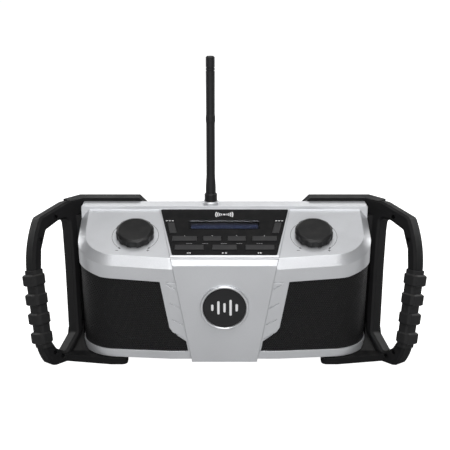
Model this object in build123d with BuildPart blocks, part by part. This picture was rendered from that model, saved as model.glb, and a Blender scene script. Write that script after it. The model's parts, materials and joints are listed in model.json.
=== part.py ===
from build123d import *
import os
from math import atan2, cos, hypot, radians, sin, tan

os.makedirs("parts", exist_ok=True)

# Jobsite radio. Millimetres. +X to the radio's left as it faces -Y, +Z up, ground at z = 0.

# ---------------------------------------------------------------- driving dimensions
# Cabinet
body_half = 135.0  # half width of the cabinet
body_floor = 8.0  # underside of the cabinet above the ground
front_y = -47.3  # front wall, carried down to the ground line
front_lean = 5.1  # degrees, the front wall comes forward going up
front_sweep = 5.3  # degrees, the front wall falls back beyond the flat middle
front_flat = 50.0  # half width of the flat middle
corner_r = 37.5  # front corners in plan
wall = 3.2
split_y = 24.2  # parting line between fascia and rear housing
ridge_front_z = 98.5  # crease between the walls and the console chamfer, at the front
ridge_front_y = -56.0
ridge_slope = 24.5  # degrees

# Console, shield and deck
console_slope = 24.1  # degrees
console_side = 7.6  # the console's edge lies this far inside the cabinet's side
console_corner_r = 29.7
panel_foot_y = -52.5  # lower edge of the shield's sloped face
panel_foot_z = 110.5
shield_rise = 0.8  # the shield stands this far above the console
lip_y = 6.9
deck_z = 139.5
deck_edge = 0.8  # chamfer along the deck's sides
shield_top_half = 61.3
shield_foot_half = 49.0
crease_half = 46.6
crease_y = -58.0
crease_z = 102.7
tongue_half = 30.0
tongue_y = -49.5
tongue_z = 5.6
shield_wall = 3.0
parting_gap = 0.25

# Control panel
panel_top_margin = 1.0  # shield left beside the panel, at its upper edge
panel_foot_margin = 2.3  # and at its lower edge
panel_low_v = 0.6  # measured up the slope from the foot of the sloped face
panel_high_v = 64.2
console_margin = 2.4  # the console runs on this far below the shield's foot
panel_corner_r = 1.5
panel_wall = 2.0
panel_sink = 0.2
panel_ledge = 1.5
panel_fit = 0.15
display_half = 32.2
display_v = 41.8
display_height = 12.2
lens_wall = 1.0
lens_fit = 0.1
lens_ledge = 1.5
module_margin = 2.4  # the display module runs this far beyond its window
key_rise = 1.4
key_bevel = 0.4
key_flange = 0.8
key_flange_wall = 1.0
key_travel = 0.9
key_gap = 0.3
key_row_height = 6.2
key_row_margin = 3.9  # panel left beside a row of keys
upright_margin = 3.0  # panel left beside an upright key
upright_width = 6.4
upright_low_v = 29.5
upright_high_v = 44.1
preset_first_x = 3.0
preset_width = 16.2
preset_gap = 6.0
play_half = 10.9
skip_x = 18.8
upper_row_v = 22.1
lower_row_v = 10.3
board_wall = 1.6
board_low_v = 2.0
board_high_v = 62.0
board_rim = 3.6  # board left outside its screws
board_depth = 10.2  # top of the key board below the shield's face
switch_height = 2.4
switch_size = 6.0
switch_button_r = 1.6
switch_button = 1.0
stem_r = 1.4
post_r = 3.0
post_margin = 4.0  # a post's middle lies this far outside the panel
post_low_v = 10.0
post_high_v = 54.0

# Knobs
knob_x = 81.4
knob_v = 27.3
knob_r = 17.3
knob_height = 7.2
knob_lift = 1.0
knob_bevel = 2.6  # width of the bevel round the knob's top
knob_bevel_height = 1.6
knob_cavity_r = 12.6
knob_cavity = 3.4
knob_notches = 12
knob_notch_r = 9.0
knob_notch_depth = 0.75
shaft_r = 3.0
shaft_fit = 0.05
shaft_top = 6.7  # above the console
shaft_bottom = 7.0  # below the control's mounting face
bushing_r = 4.5
bushing_rise = 3.4
bushing_fit = 0.1
nut_r = 7.4
nut_height = 2.0
control_body_r = 9.0
control_body_height = 9.0
plunger_r = 5.5
plunger_wall = 1.4
plunger_gap = 0.3
push_travel = 0.7

# Badge
badge_z = 62.0
badge_r = 21.9
badge_ring_wall = 2.2
badge_ring_rise = 3.0
badge_disc_rise = 1.3
badge_fit = 0.1
badge_bevel = 0.6

# Grilles and speakers
grille_sink = 1.2
grille_wall = 1.0
grille_border = 2.5
grille_back_y = 4.0
window_top_x = 58.2
window_top_z = 86.1
window_turn = 23.0  # the window's upper edge turns up this far inside the cabinet's side
window_turn_z = 88.6
window_side_top_z = 94.6
window_side_low_z = 15.8
window_low_x = 32.6
window_low_z = 16.0
flank_foot = (33.8, 25.2)
flank_knee = (47.6, 36.0)
flank_bend = (50.4, 40.4)
relief_depth = 0.8
relief_width = 1.1
flank_rib = 1.2  # fascia left between the shield and the window
grille_gap = 0.25
baffle_wall = 3.0
baffle_y = -29.0
baffle_inner_x = 29.0
baffle_back_y = 10.0
baffle_leg = 16.0  # the tray's leg lies this far inside the cabinet's side
baffle_low_z = 13.4
baffle_high_z = 92.6
speaker_x = 82.0
speaker_z = 49.0
speaker_r = 35.0
speaker_hole_r = 31.0
speaker_flange = 2.0
surround_r = 30.5
basket_inner_r = 28.5
basket_depth = 13.0
cone_depth = 10.0
cone_wall = 0.8
cone_cap_r = 8.0
magnet_r = 22.0
magnet_height = 12.0

# Antenna
antenna_x = -13.0
antenna_y = 16.2
collar_r = 8.0
collar_rise = 2.8
antenna_bushing_r = 4.2
antenna_gap = 0.2
collar_bevel = 1.0
collar_dish = 0.6
antenna_ring_r = 6.0
antenna_ring_height = 7.4
whip_root_r = 4.8
whip_r = 4.1
whip_root_length = 6.0
whip_bulge_z = 221.0
whip_bulge_r = 4.45
whip_bulge_length = 4.0
whip_groove_zs = (265.4, 268.0)
whip_groove_depth = 0.4
whip_groove_width = 0.9
whip_tip = 1.0
whip_top_z = 278.4
stud_r = 2.5
stud_length = 24.0
stud_engagement = 8.0
stud_fit = 0.05

# Rear housing
rear_y = 59.3
rear_tuck = 8.8  # the rear housing is this much narrower at its back, each side
rear_corner_r = 14.0
rear_eave_y = 38.5
rear_eave_z = 133.0
rear_knee_y = 50.0
rear_knee_z = 124.0
rear_top_z = 112.0

# Side frames
strap_z = 142.5  # top of the arm behind the deck
arm_front_y = 24.6
arm_depth = 14.0
arm_drop = 14.0
arm_inner_x = 82.0
arm_bend = 0.3  # the arm turns towards the loop this far inside the cabinet's side
frame_gap = 0.4
handle_foot_out = 20.6  # lower front corner of the loop, outward from the cabinet's side
handle_foot_y = -45.6
handle_head_out = 11.0  # upper front corner of the loop
handle_head_y = 13.5
handle_head_z = 142.5
handle_yaw = 45.0  # degrees, the loop sweeps forward from the cabinet's side
loop_width = 14.5
loop_chamfer = 2.0
loop_cover_chamfer = 1.0
cover_wall = 3.0
cover_edge = 12.0  # the cover's inner edge, outward from the cabinet's side
loop_head_r = 12.0
loop_wall_r = 3.5
bar_low_t = 30.0  # the loop's outer bar runs straight between these heights in its plane
bar_high_t = 88.0
bar_low_out = 8.7
bar_high_out = 5.3
gap_low_t = 25.0  # and its inner edge between these
gap_high_t = 92.0
gap_low_out = 0.8
gap_high_out = -4.3
cheek_wall = 10.5  # the cheek's outer face, outward from the cabinet's side
cheek_front_y = 8.0
cheek_knee_z = 108.0
cheek_top_y = 13.5
cheek_back_y = 42.0
gusset_out = 15.0  # the gusset's outer face, outward from the cabinet's side
gusset_front_y = -30.0
gusset_front_z = 5.5
gusset_knee_y = -28.0
gusset_top_y = -10.0
gusset_top_z = 23.0
arm_corner = 5.5  # back corner of the arm, outward from the cabinet's side
mount_head = 6.4  # seat of the mounting screws, outward from the cabinet's side
screw_skin = 1.0  # cover left over the tip of a frame screw
frame_screw_r = 1.1
frame_screw_head_r = 1.8
frame_screw_sink = 2.0  # the heads lie this deep in their wells
grip_rib = 3.0
grip_rib_shy = 1.0  # a rib is this much flatter on the bar's inner and front faces
grip_rib_corner = 2.6
grip_neck = 0.8
grip_neck_corner = 1.8
grip_back_corner = 0.6
grip_ribs = 4
grip_pitch = 18.1
grip_rib_length = 10.8
grip_bevel = 1.2
grip_first_t = 28.4  # height of the lowest rib's middle in the loop's plane
foot_top = 7.2
foot_length = 44.5  # the feet reach this far inside the cabinet's side
foot_front_y = -45.0
foot_back_y = 49.0
foot_toe_r = 5.0
foot_toe_width = 15.0
foot_taper = 8.0
foot_bar_y = -21.0  # the bar between the feet starts here
foot_bar_back_y = 34.0
pad_r = 6.0
pad_height = 2.0
pad_rise = 0.8
pad_fit = 0.1

# Battery bay, door and sockets
bay_half = 57.0
bay_low_z = 17.0
bay_high_z = 75.0
bay_depth = 28.0
bay_wall = 2.0
door_gap = 0.4
hinge_pin_r = 0.8
hinge_fit = 0.05
pin_overhang = 3.0
lock_r = 7.0
lock_inset = 10.0  # the lock's middle, inward from the bay's side
cam_reach = 14.0
cam_width = 5.0
cam_wall = 2.0
cam_gap = 0.4
lock_head = 1.8
lock_shaft_r = 2.5
lock_slot_width = 1.6
lock_slot_depth = 0.8
cell_ridge = 3.0
contact_half = 8.0
contact_wall = 0.6
spring_r = 5.0
spring_wire = 1.0
spring_length = 7.0
main_board_half = 50.0
main_board_height = 56.0
main_board_gap = 3.0
chip_height = 3.0
pocket_side = 38.8  # the sockets' pocket, inward from the cabinet's side
pocket_z = 42.0
pocket_half = 15.0
pocket_depth = 8.0
pocket_wall = 2.0
pivot_length = 1.6
socket_fit = 0.1
flap_wall = 2.4
flap_gap = 0.3
dc_r = 5.5
aux_r = 4.0
jack_spread = 7.5
jack_depth = 9.0
jack_flange = 1.0
dc_bore_r = 3.0
dc_pin_r = 1.0
aux_bore_r = 1.8
notch_r = 4.0

# Fasteners
screw_r = 1.5
screw_fit = 0.05
screw_head_r = 3.0
screw_head_height = 2.0
screw_length = 14.0
mount_block = 14.0
mount_tip_gap = 1.2
screw_clearance = 0.3
well_r = 5.0
well_seat = 4.0
boss_length = 12.0
board_screw_r = 1.0
board_screw_head_r = 1.9
board_screw_head_height = 1.2
board_screw_length = 6.0

# ---------------------------------------------------------------- shared planes
lean_rate = tan(radians(front_lean))
console_angle = radians(console_slope)
ridge_angle = radians(ridge_slope)
shield_plane = Plane(
    origin=(0, panel_foot_y, panel_foot_z),
    x_dir=(1, 0, 0),
    z_dir=(0, -sin(console_angle), cos(console_angle)),
)
console_plane = shield_plane.offset(-shield_rise)
ridge_plane = Plane(
    origin=(0, ridge_front_y, ridge_front_z),
    x_dir=(1, 0, 0),
    z_dir=(0, -sin(ridge_angle), cos(ridge_angle)),
)
split_plane = Plane(origin=(0, split_y, 0), x_dir=(1, 0, 0), z_dir=(0, 1, 0))
shield_axis = Axis((0, 0, 0), shield_plane.z_dir)
console_half = body_half - console_side
rear_half = body_half - rear_tuck
window_turn_x = body_half - window_turn
baffle_leg_x = body_half - baffle_leg
pocket_x = body_half - pocket_side
arm_bend_x = body_half - arm_bend
arm_corner_x = body_half + arm_corner
cheek_outer_x = body_half + cheek_wall
gusset_outer_x = body_half + gusset_out
mount_head_x = body_half + mount_head
mount_tip_x = mount_head_x - screw_length - mount_tip_gap
cover_edge_x = body_half + cover_edge
foot_tip_x = body_half - foot_length
lock_x = bay_half - lock_inset
frame_screw_reach = loop_width - screw_skin
sky = strap_z + 20  # above everything but the antenna
reach = body_half + 100  # beyond everything sideways


# ---------------------------------------------------------------- cabinet shapes
def deck_section(inset):
    """Front view of the deck: upright sides with a small chamfer along the edge."""
    half = body_half - inset
    top = deck_z - inset
    with BuildSketch(Plane.XZ) as section:
        with BuildLine():
            Polyline(
                (-half, ridge_front_z),
                (-half, top - deck_edge),
                (deck_edge - half, top),
                (half - deck_edge, top),
                (half, top - deck_edge),
                (half, ridge_front_z),
                close=True,
            )
        make_face()
    return section.sketch


def wrap_outline(plane, half, front, fall, radius, back):
    """Rounded outline of the cabinet on a plane: flat middle, swept front, round corners."""
    with BuildSketch(plane) as outline:
        with BuildLine():
            Polyline(
                (-half, back),
                (-half, front + fall),
                (-front_flat, front),
                (front_flat, front),
                (half, front + fall),
                (half, back),
                close=True,
            )
        make_face()
        fillet([v for v in vertices() if abs(v.X) > half - 1 and v.Y < back - 1], radius)
    return outline.sketch


def cabinet_form(inset):
    """Walls, console and deck, drawn a distance inside their outer faces and open at the back."""
    base = body_floor + inset
    half = body_half - inset
    upper_half = console_half - inset
    fall = (half - front_flat) * tan(radians(front_sweep))
    upper_fall = (upper_half - front_flat) * tan(radians(front_sweep))
    ridge_back = (split_y + wall - ridge_front_y) / cos(ridge_angle)
    console_back = (lip_y + inset + deck_edge - panel_foot_y) / cos(console_angle)
    floor_outline = wrap_outline(
        Plane.XY.offset(base),
        half,
        front_y + inset - base * lean_rate,
        fall,
        corner_r - inset,
        split_y + wall,
    )
    ridge_outline = wrap_outline(
        ridge_plane.offset(-inset), half, inset, fall, corner_r - inset, ridge_back
    )
    console_outline = wrap_outline(
        console_plane.offset(-inset),
        upper_half,
        inset - console_margin,
        upper_fall,
        console_corner_r - inset,
        console_back,
    )
    with BuildPart() as form:
        loft([floor_outline, ridge_outline, console_outline], ruled=True)
        extrude(
            deck_section(inset).moved(Location((0, lip_y + inset, 0))),
            amount=split_y + wall - lip_y - inset,
            dir=(0, 1, 0),
        )
    return form.part


def rear_form(inset):
    """The rear housing's outer shape, drawn a distance inside its faces."""
    half = body_half - inset
    narrow = rear_half - inset
    back = rear_y - inset
    with BuildPart() as form:
        with BuildSketch(Plane.XY.offset(body_floor + inset)):
            with BuildLine():
                Polyline(
                    (-half, split_y - wall),
                    (-half, split_y + well_r),
                    (-narrow, back),
                    (narrow, back),
                    (half, split_y + well_r),
                    (half, split_y - wall),
                    close=True,
                )
            make_face()
            fillet([v for v in vertices() if v.Y > back - 1], rear_corner_r - inset)
        extrude(amount=sky)
        with BuildSketch(Plane.YZ):
            with BuildLine():
                Polyline(
                    (split_y - wall, body_floor + inset),
                    (split_y - wall, deck_z - inset),
                    (split_y, deck_z - inset),
                    (rear_eave_y, rear_eave_z - inset),
                    (rear_knee_y, rear_knee_z - inset),
                    (back, rear_top_z - inset),
                    (back, body_floor + inset),
                    close=True,
                )
            make_face()
        extrude(amount=reach, both=True, mode=Mode.INTERSECT)
        with BuildSketch(Plane.XZ):
            add(deck_section(inset))
            with Locations((0, ridge_front_z / 2)):
                Rectangle(2 * half, ridge_front_z)
        extrude(amount=-reach, mode=Mode.INTERSECT)
    return form.part


def arm_channel(gap):
    """Space of the two arms behind the deck, with a gap round it."""
    with BuildPart() as channel:
        with BuildSketch(Plane.XZ.offset(-(arm_front_y - gap))):
            with BuildLine():
                low = strap_z - arm_drop - gap
                inner = arm_inner_x - arm_drop - gap * tan(radians(67.5))
                Polyline(
                    (-reach, low),
                    (-inner, low),
                    (-(inner + sky - low), sky),
                    (-reach, sky),
                    close=True,
                )
            make_face()
            mirror(about=Plane.YZ)
        extrude(amount=-(arm_depth + 2 * gap))
    return channel.part


def grille_window(grow, side_gap):
    """Prism of the left grille window seen from the front, grown by a margin, clear of the shield."""
    with BuildPart() as window:
        with BuildSketch(Plane.XZ.offset(-(grille_back_y + grow))):
            with BuildLine():
                Polyline(
                    (-window_top_x, window_top_z),
                    (-window_turn_x, window_turn_z),
                    (-body_half, window_side_top_z),
                    (-reach, window_side_top_z),
                    (-reach, window_side_low_z),
                    (-window_turn_x, window_side_low_z),
                    (-window_low_x, window_low_z),
                    (-flank_foot[0], flank_foot[1]),
                    (-flank_knee[0], flank_knee[1]),
                    (-flank_bend[0], flank_bend[1]),
                    close=True,
                )
            make_face()
            offset(amount=grow, kind=Kind.INTERSECTION)
        extrude(amount=reach)
        extrude(shield_outline(side_gap), amount=reach, both=True, mode=Mode.SUBTRACT)
    return window.part


# ---------------------------------------------------------------- shield shapes
shield_top_z = panel_foot_z + (lip_y - panel_foot_y) * tan(console_angle)
tongue_angle = atan2(tongue_y - crease_y, crease_z - tongue_z)
lip_plane = Plane(origin=(0, lip_y, 0), x_dir=(1, 0, 0), z_dir=(0, 1, 0))


def shield_outline(side_gap):
    """Front view of the shield: wide at the lip, narrow at the foot of the tongue."""
    with BuildSketch(Plane.XZ) as outline:
        with BuildLine():
            Polyline(
                (shield_top_half + side_gap, shield_top_z),
                (shield_foot_half + side_gap, panel_foot_z),
                (crease_half + side_gap, crease_z),
                (tongue_half + side_gap, tongue_z - side_gap),
                (-tongue_half - side_gap, tongue_z - side_gap),
                (-crease_half - side_gap, crease_z),
                (-shield_foot_half - side_gap, panel_foot_z),
                (-shield_top_half - side_gap, shield_top_z),
                close=True,
            )
        make_face()
    return outline.sketch


def shield_form(depth, side_gap):
    """Everything in front of the shield's rear face, which lies a depth below its outer face."""
    with BuildPart() as form:
        with BuildSketch(Plane.YZ):
            with BuildLine():
                outer = Polyline(
                    (lip_y, shield_top_z),
                    (panel_foot_y, panel_foot_z),
                    (crease_y, crease_z),
                    (tongue_y, tongue_z),
                )
                offset(outer, amount=depth, side=Side.LEFT, closed=True)
            make_face()
        extrude(amount=shield_top_half + side_gap + 1, both=True)
        extrude(shield_outline(side_gap), amount=reach, both=True, mode=Mode.INTERSECT)
        split(bisect_by=lip_plane, keep=Keep.BOTTOM)
    return form.part


# ---------------------------------------------------------------- control layout
shield_length = (lip_y - panel_foot_y) / cos(console_angle)


def shield_half(v):
    """Half width of the shield, a distance up the slope from its foot."""
    return shield_foot_half + (shield_top_half - shield_foot_half) * v / shield_length


panel_top_half = shield_half(panel_high_v) - panel_top_margin
panel_bottom_half = shield_half(panel_low_v) - panel_foot_margin


def panel_half(v):
    """Half width of the control panel, a distance up the slope."""
    rise = (v - panel_low_v) / (panel_high_v - panel_low_v)
    return panel_bottom_half + (panel_top_half - panel_bottom_half) * rise


def panel_outline(margin):
    """Trapezoid on the sloped face: the black panel's outline, drawn a margin inside."""
    lean = atan2(panel_top_half - panel_bottom_half, panel_high_v - panel_low_v)
    side = margin / cos(lean)
    low_half = panel_bottom_half + margin * tan(lean) - side
    high_half = panel_top_half - margin * tan(lean) - side
    with BuildSketch() as outline:
        with BuildLine():
            Polyline(
                (-low_half, panel_low_v + margin),
                (low_half, panel_low_v + margin),
                (high_half, panel_high_v - margin),
                (-high_half, panel_high_v - margin),
                close=True,
            )
        make_face()
        fillet(outline.vertices(), panel_corner_r)
    return outline.sketch


def console_spot(x, height=0.0):
    """Plane over a knob's centre, a height above the console, facing out."""
    centre = console_plane.offset(height).from_local_coords(Vector(x, knob_v, 0))
    return Plane(origin=centre, x_dir=(1, 0, 0), z_dir=console_plane.z_dir)


def bar_key(left, right, row_v):
    """Corners of a bar key in one of the two rows, in x and distance up the slope."""
    low = row_v - key_row_height / 2
    high = row_v + key_row_height / 2
    return [(left, low), (right, low), (right, high), (left, high)]


upright_low_x = panel_half(upright_low_v) - upright_margin
upright_high_x = panel_half(upright_high_v) - upright_margin
upright_key = [
    (upright_low_x - upright_width, upright_low_v),
    (upright_low_x, upright_low_v),
    (upright_high_x, upright_high_v),
    (upright_high_x - upright_width, upright_high_v),
]
preset_far_x = preset_first_x + preset_width + preset_gap
preset_end_x = panel_half(upper_row_v) - key_row_margin
skip_end_x = panel_half(lower_row_v) - key_row_margin
key_corners = {
    "key_info": upright_key,
    "key_mode": [(-x, v) for x, v in upright_key],
    "key_preset_1": bar_key(-preset_end_x, -preset_far_x, upper_row_v),
    "key_preset_2": bar_key(-preset_first_x - preset_width, -preset_first_x, upper_row_v),
    "key_preset_3": bar_key(preset_first_x, preset_first_x + preset_width, upper_row_v),
    "key_preset_4": bar_key(preset_far_x, preset_end_x, upper_row_v),
    "key_back": bar_key(-skip_end_x, -skip_x, lower_row_v),
    "key_play": bar_key(-play_half, play_half, lower_row_v),
    "key_next": bar_key(skip_x, skip_end_x, lower_row_v),
}
key_spots = [
    (sum(x for x, v in corners) / 4, sum(v for x, v in corners) / 4)
    for corners in key_corners.values()
]


def key_outline(corners, grow):
    """Outline of one key, grown by a margin."""
    with BuildSketch() as outline:
        with BuildLine():
            Polyline(*corners, close=True)
        make_face()
        offset(amount=grow, kind=Kind.INTERSECTION)
    return outline.sketch


panel_back = panel_sink + panel_wall
flange_depth = panel_back + key_gap
stem_depth = board_depth - switch_height - switch_button - key_travel - key_gap
board_posts = [
    (side * (panel_half(v) + post_margin), v) for v in (post_low_v, post_high_v) for side in (-1, 1)
]

# Screws that hold the rear housing to the fascia, in X and Z
floor_screws = [(-112.0, 17.0), (-72.0, 17.0), (72.0, 17.0), (112.0, 17.0)]
side_screws = [(-118.0, 100.0), (118.0, 100.0)]
deck_screws = [(-40.0, 128.0), (40.0, 128.0)]
housing_screw_spots = floor_screws + side_screws + deck_screws
split_face = Plane.XZ.offset(-split_y)
main_board_posts = [(-45.0, 24.0), (45.0, 24.0), (-45.0, 68.0), (45.0, 68.0)]

# Screws that hold the side frames to the rear housing, in Y and Z
mount_spots = [(32.0, 30.0), (32.0, 100.0)]

left_window = grille_window(0, parting_gap + flank_rib)
left_pocket = grille_window(grille_border + grille_gap, parting_gap + flank_rib)
flank_lines = [
    ((-44.2, 85.7), (-52.7, 85.7)),
    ((-44.3, 79.3), (-52.4, 84.0)),
    ((-40.8, 60.3), (-49.4, 65.2)),
    ((-38.5, 43.7), (-47.3, 48.7)),
    ((-36.3, 28.7), (-45.2, 34.7)),
]


# ---------------------------------------------------------------- front fascia
with BuildPart() as shell_space:
    add(cabinet_form(wall))
    split(bisect_by=split_plane, keep=Keep.BOTTOM)
    add(rear_form(wall))
    add(arm_channel(frame_gap + wall), mode=Mode.SUBTRACT)

with BuildPart() as grille_pockets:
    add(cabinet_form(grille_sink))
    add(left_pocket, mode=Mode.INTERSECT)
    mirror(about=Plane.YZ)

with BuildPart() as flank_relief:
    with BuildSketch(Plane.XZ):
        with BuildLine():
            for start, end in flank_lines:
                Line(start, end)
        trace(line_width=relief_width)
        mirror(about=Plane.YZ)
    extrude(amount=reach)
    add(cabinet_form(relief_depth), mode=Mode.SUBTRACT)

with BuildPart() as front_fascia:
    add(cabinet_form(0))
    split(bisect_by=split_plane, keep=Keep.BOTTOM)
    add(shell_space.part, mode=Mode.SUBTRACT)
    # screw bosses, each tied to the wall beside it
    with BuildSketch(split_face):
        with Locations(*housing_screw_spots):
            Rectangle(2 * well_r, 2 * well_r)
        for x, z in floor_screws:
            with Locations((x, z)):
                Rectangle(2 * well_r, z - body_floor, align=(Align.CENTER, Align.MAX))
        for x, z in deck_screws:
            with Locations((x, z)):
                Rectangle(2 * well_r, deck_z - z - wall / 2, align=(Align.CENTER, Align.MIN))
        for x, z in side_screws:
            with Locations((x, z)):
                side = Align.MIN if x > 0 else Align.MAX
                Rectangle(body_half - wall / 2 - abs(x), 2 * well_r, align=(side, Align.CENTER))
    extrude(amount=boss_length)
    with BuildSketch(split_face):
        with Locations(*housing_screw_spots):
            Circle(screw_r + screw_fit)
    extrude(amount=screw_length - well_seat + screw_clearance, mode=Mode.SUBTRACT)
    # posts for the key board
    with BuildSketch(shield_plane.offset(-board_depth)):
        with Locations(*board_posts):
            Circle(post_r)
    extrude(amount=board_depth - shield_wall)
    with BuildSketch(shield_plane.offset(-board_depth)):
        with Locations(*board_posts):
            Circle(board_screw_r + screw_fit)
    extrude(amount=board_screw_length - board_wall + screw_clearance, mode=Mode.SUBTRACT)
    # seat of the shield and the opening under the control panel
    add(shield_form(shield_wall, parting_gap), mode=Mode.SUBTRACT)
    with BuildSketch(shield_plane):
        add(panel_outline(panel_ledge))
    extrude(amount=-(shield_rise + 2 * wall), mode=Mode.SUBTRACT)
    # grille windows, their pockets, the flanks' relief
    add(left_window, mode=Mode.SUBTRACT)
    add(left_window.mirror(Plane.YZ), mode=Mode.SUBTRACT)
    add(grille_pockets.part, mode=Mode.SUBTRACT)
    add(flank_relief.part, mode=Mode.SUBTRACT)
    # holes for the controls and the antenna socket
    for x in (-knob_x, knob_x):
        with BuildSketch(console_spot(x)):
            Circle(bushing_r + bushing_fit)
        extrude(amount=-2 * wall, mode=Mode.SUBTRACT)
    with BuildSketch(Plane.XY.offset(deck_z)):
        with Locations((antenna_x, antenna_y)):
            Circle(antenna_bushing_r + bushing_fit)
    extrude(amount=-2 * wall, mode=Mode.SUBTRACT)
front_fascia.part.label = "front_fascia"
export_step(front_fascia.part, "parts/front_fascia.step")

# ---------------------------------------------------------------- rear housing
bay_mid_z = (bay_low_z + bay_high_z) / 2
bay_height = bay_high_z - bay_low_z
rear_face = Plane.XZ.offset(-rear_y)
rear_inner_face = Plane.XZ.offset(wall - rear_y)
pocket_floor = Plane.XZ.offset(pocket_depth - rear_y)
door_axis_x = -(bay_half - door_gap - wall / 2)
door_axis_y = rear_y - wall / 2
flap_axis_x = pocket_x + pocket_half - flap_gap - flap_wall / 2
flap_axis_y = rear_y - flap_wall / 2

with BuildPart() as rear_housing:
    add(rear_form(0))
    split(bisect_by=split_plane, keep=Keep.TOP)
    add(shell_space.part, mode=Mode.SUBTRACT)
    add(arm_channel(frame_gap), mode=Mode.SUBTRACT)
    # screw wells
    with BuildSketch(split_face):
        with Locations(*housing_screw_spots):
            Circle(well_r)
    extrude(amount=split_y - rear_y)
    # blocks for the side frames' screws
    for side in (-1, 1):
        with BuildSketch(Plane.YZ.offset(side * (body_half - mount_block))):
            with Locations(*mount_spots):
                Rectangle(2 * well_r, 2 * well_r)
        extrude(amount=side * mount_block)
    # tray around the sockets
    with BuildSketch(rear_face):
        with Locations((pocket_x, pocket_z)):
            Rectangle(2 * (pocket_half + pocket_wall), 2 * (pocket_half + pocket_wall))
    extrude(amount=pocket_depth + pocket_wall)
    add(rear_form(0), mode=Mode.INTERSECT)
    with BuildSketch(split_face):
        with Locations(*housing_screw_spots):
            Circle(screw_r + screw_fit)
    extrude(amount=-reach, mode=Mode.SUBTRACT)
    with BuildSketch(split_face.offset(-well_seat)):
        with Locations(*housing_screw_spots):
            Circle(screw_head_r + screw_clearance)
    extrude(amount=-reach, mode=Mode.SUBTRACT)
    for side in (-1, 1):
        with BuildSketch(Plane.YZ.offset(side * mount_tip_x)):
            with Locations(*mount_spots):
                Circle(screw_r + screw_fit)
        extrude(amount=side * reach, mode=Mode.SUBTRACT)
    # battery opening, socket pocket and socket holes
    with BuildSketch(rear_face):
        with Locations((0, bay_mid_z)):
            Rectangle(2 * bay_half, bay_height)
    extrude(amount=wall, mode=Mode.SUBTRACT)
    with BuildSketch(rear_face):
        with Locations((pocket_x, pocket_z)):
            Rectangle(2 * pocket_half, 2 * pocket_half)
    extrude(amount=pocket_depth, mode=Mode.SUBTRACT)
    with BuildSketch(rear_face):
        with Locations((pocket_x - jack_spread, pocket_z)):
            Circle(dc_r + socket_fit)
        with Locations((pocket_x + jack_spread, pocket_z)):
            Circle(aux_r + socket_fit)
    extrude(amount=pocket_depth + 2 * pocket_wall, mode=Mode.SUBTRACT)
    # bores for the door's pin and the flap's pivots
    with BuildSketch(Plane.XY.offset(bay_low_z - pin_overhang)):
        with Locations((door_axis_x, door_axis_y)):
            Circle(hinge_pin_r + hinge_fit)
    extrude(amount=bay_height + 2 * pin_overhang, mode=Mode.SUBTRACT)
    with BuildSketch(Plane.XY.offset(pocket_z - pocket_half - pivot_length)):
        with Locations((flap_axis_x, flap_axis_y)):
            Circle(hinge_pin_r + hinge_fit)
    extrude(amount=2 * (pocket_half + pivot_length), mode=Mode.SUBTRACT)
rear_housing.part.label = "rear_housing"
export_step(rear_housing.part, "parts/rear_housing.step")

# ---------------------------------------------------------------- centre shield and control panel
with BuildPart() as centre_shield:
    add(shield_form(shield_wall, 0))
    with BuildSketch(shield_plane):
        add(panel_outline(0))
    extrude(amount=-panel_back, mode=Mode.SUBTRACT)
    with BuildSketch(shield_plane):
        add(panel_outline(panel_ledge))
    extrude(amount=-2 * shield_wall, mode=Mode.SUBTRACT)
centre_shield.part.label = "centre_shield"
export_step(centre_shield.part, "parts/centre_shield.step")

with BuildPart() as control_panel:
    with BuildSketch(shield_plane.offset(-panel_sink)):
        add(panel_outline(panel_fit))
        for corners in key_corners.values():
            add(key_outline(corners, key_gap), mode=Mode.SUBTRACT)
    extrude(amount=-panel_wall)
    with BuildSketch(shield_plane.offset(-panel_sink)):
        with Locations((0, display_v)):
            Rectangle(2 * (display_half + lens_fit), display_height + 2 * lens_fit)
    extrude(amount=-lens_wall, mode=Mode.SUBTRACT)
    with BuildSketch(shield_plane.offset(-panel_sink)):
        with Locations((0, display_v)):
            Rectangle(2 * (display_half - lens_ledge), display_height - 2 * lens_ledge)
    extrude(amount=-panel_wall, mode=Mode.SUBTRACT)
control_panel.part.label = "control_panel"
export_step(control_panel.part, "parts/control_panel.step")

with BuildPart() as lcd_lens:
    with BuildSketch(shield_plane.offset(-panel_sink)):
        with Locations((0, display_v)):
            Rectangle(2 * display_half, display_height)
    extrude(amount=-lens_wall)
lcd_lens.part.label = "lcd_lens"
export_step(lcd_lens.part, "parts/lcd_lens.step")

with BuildPart() as lcd_module:
    with BuildSketch(shield_plane.offset(-board_depth)):
        with Locations((0, display_v)):
            Rectangle(2 * (display_half + module_margin), display_height + 2 * module_margin)
    extrude(amount=board_depth - flange_depth)
lcd_module.part.label = "lcd_module"
export_step(lcd_module.part, "parts/lcd_module.step")

# each key: a cap through the panel, a flange behind it and a stem over its switch
for label, corners, spot in zip(key_corners, key_corners.values(), key_spots):
    with BuildPart() as key:
        with BuildSketch(shield_plane.offset(key_rise - panel_sink)):
            add(key_outline(corners, 0))
        extrude(amount=panel_sink - key_rise - flange_depth)
        chamfer(key.faces().sort_by(shield_axis)[-1].edges(), key_bevel)
        with BuildSketch(shield_plane.offset(-flange_depth)):
            add(key_outline(corners, key_flange))
        extrude(amount=-key_flange_wall)
        with BuildSketch(shield_plane.offset(-flange_depth)):
            with Locations(spot):
                Circle(stem_r)
        extrude(amount=flange_depth - stem_depth)
    key.part.label = label
    export_step(key.part, f"parts/{label}.step")

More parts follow.
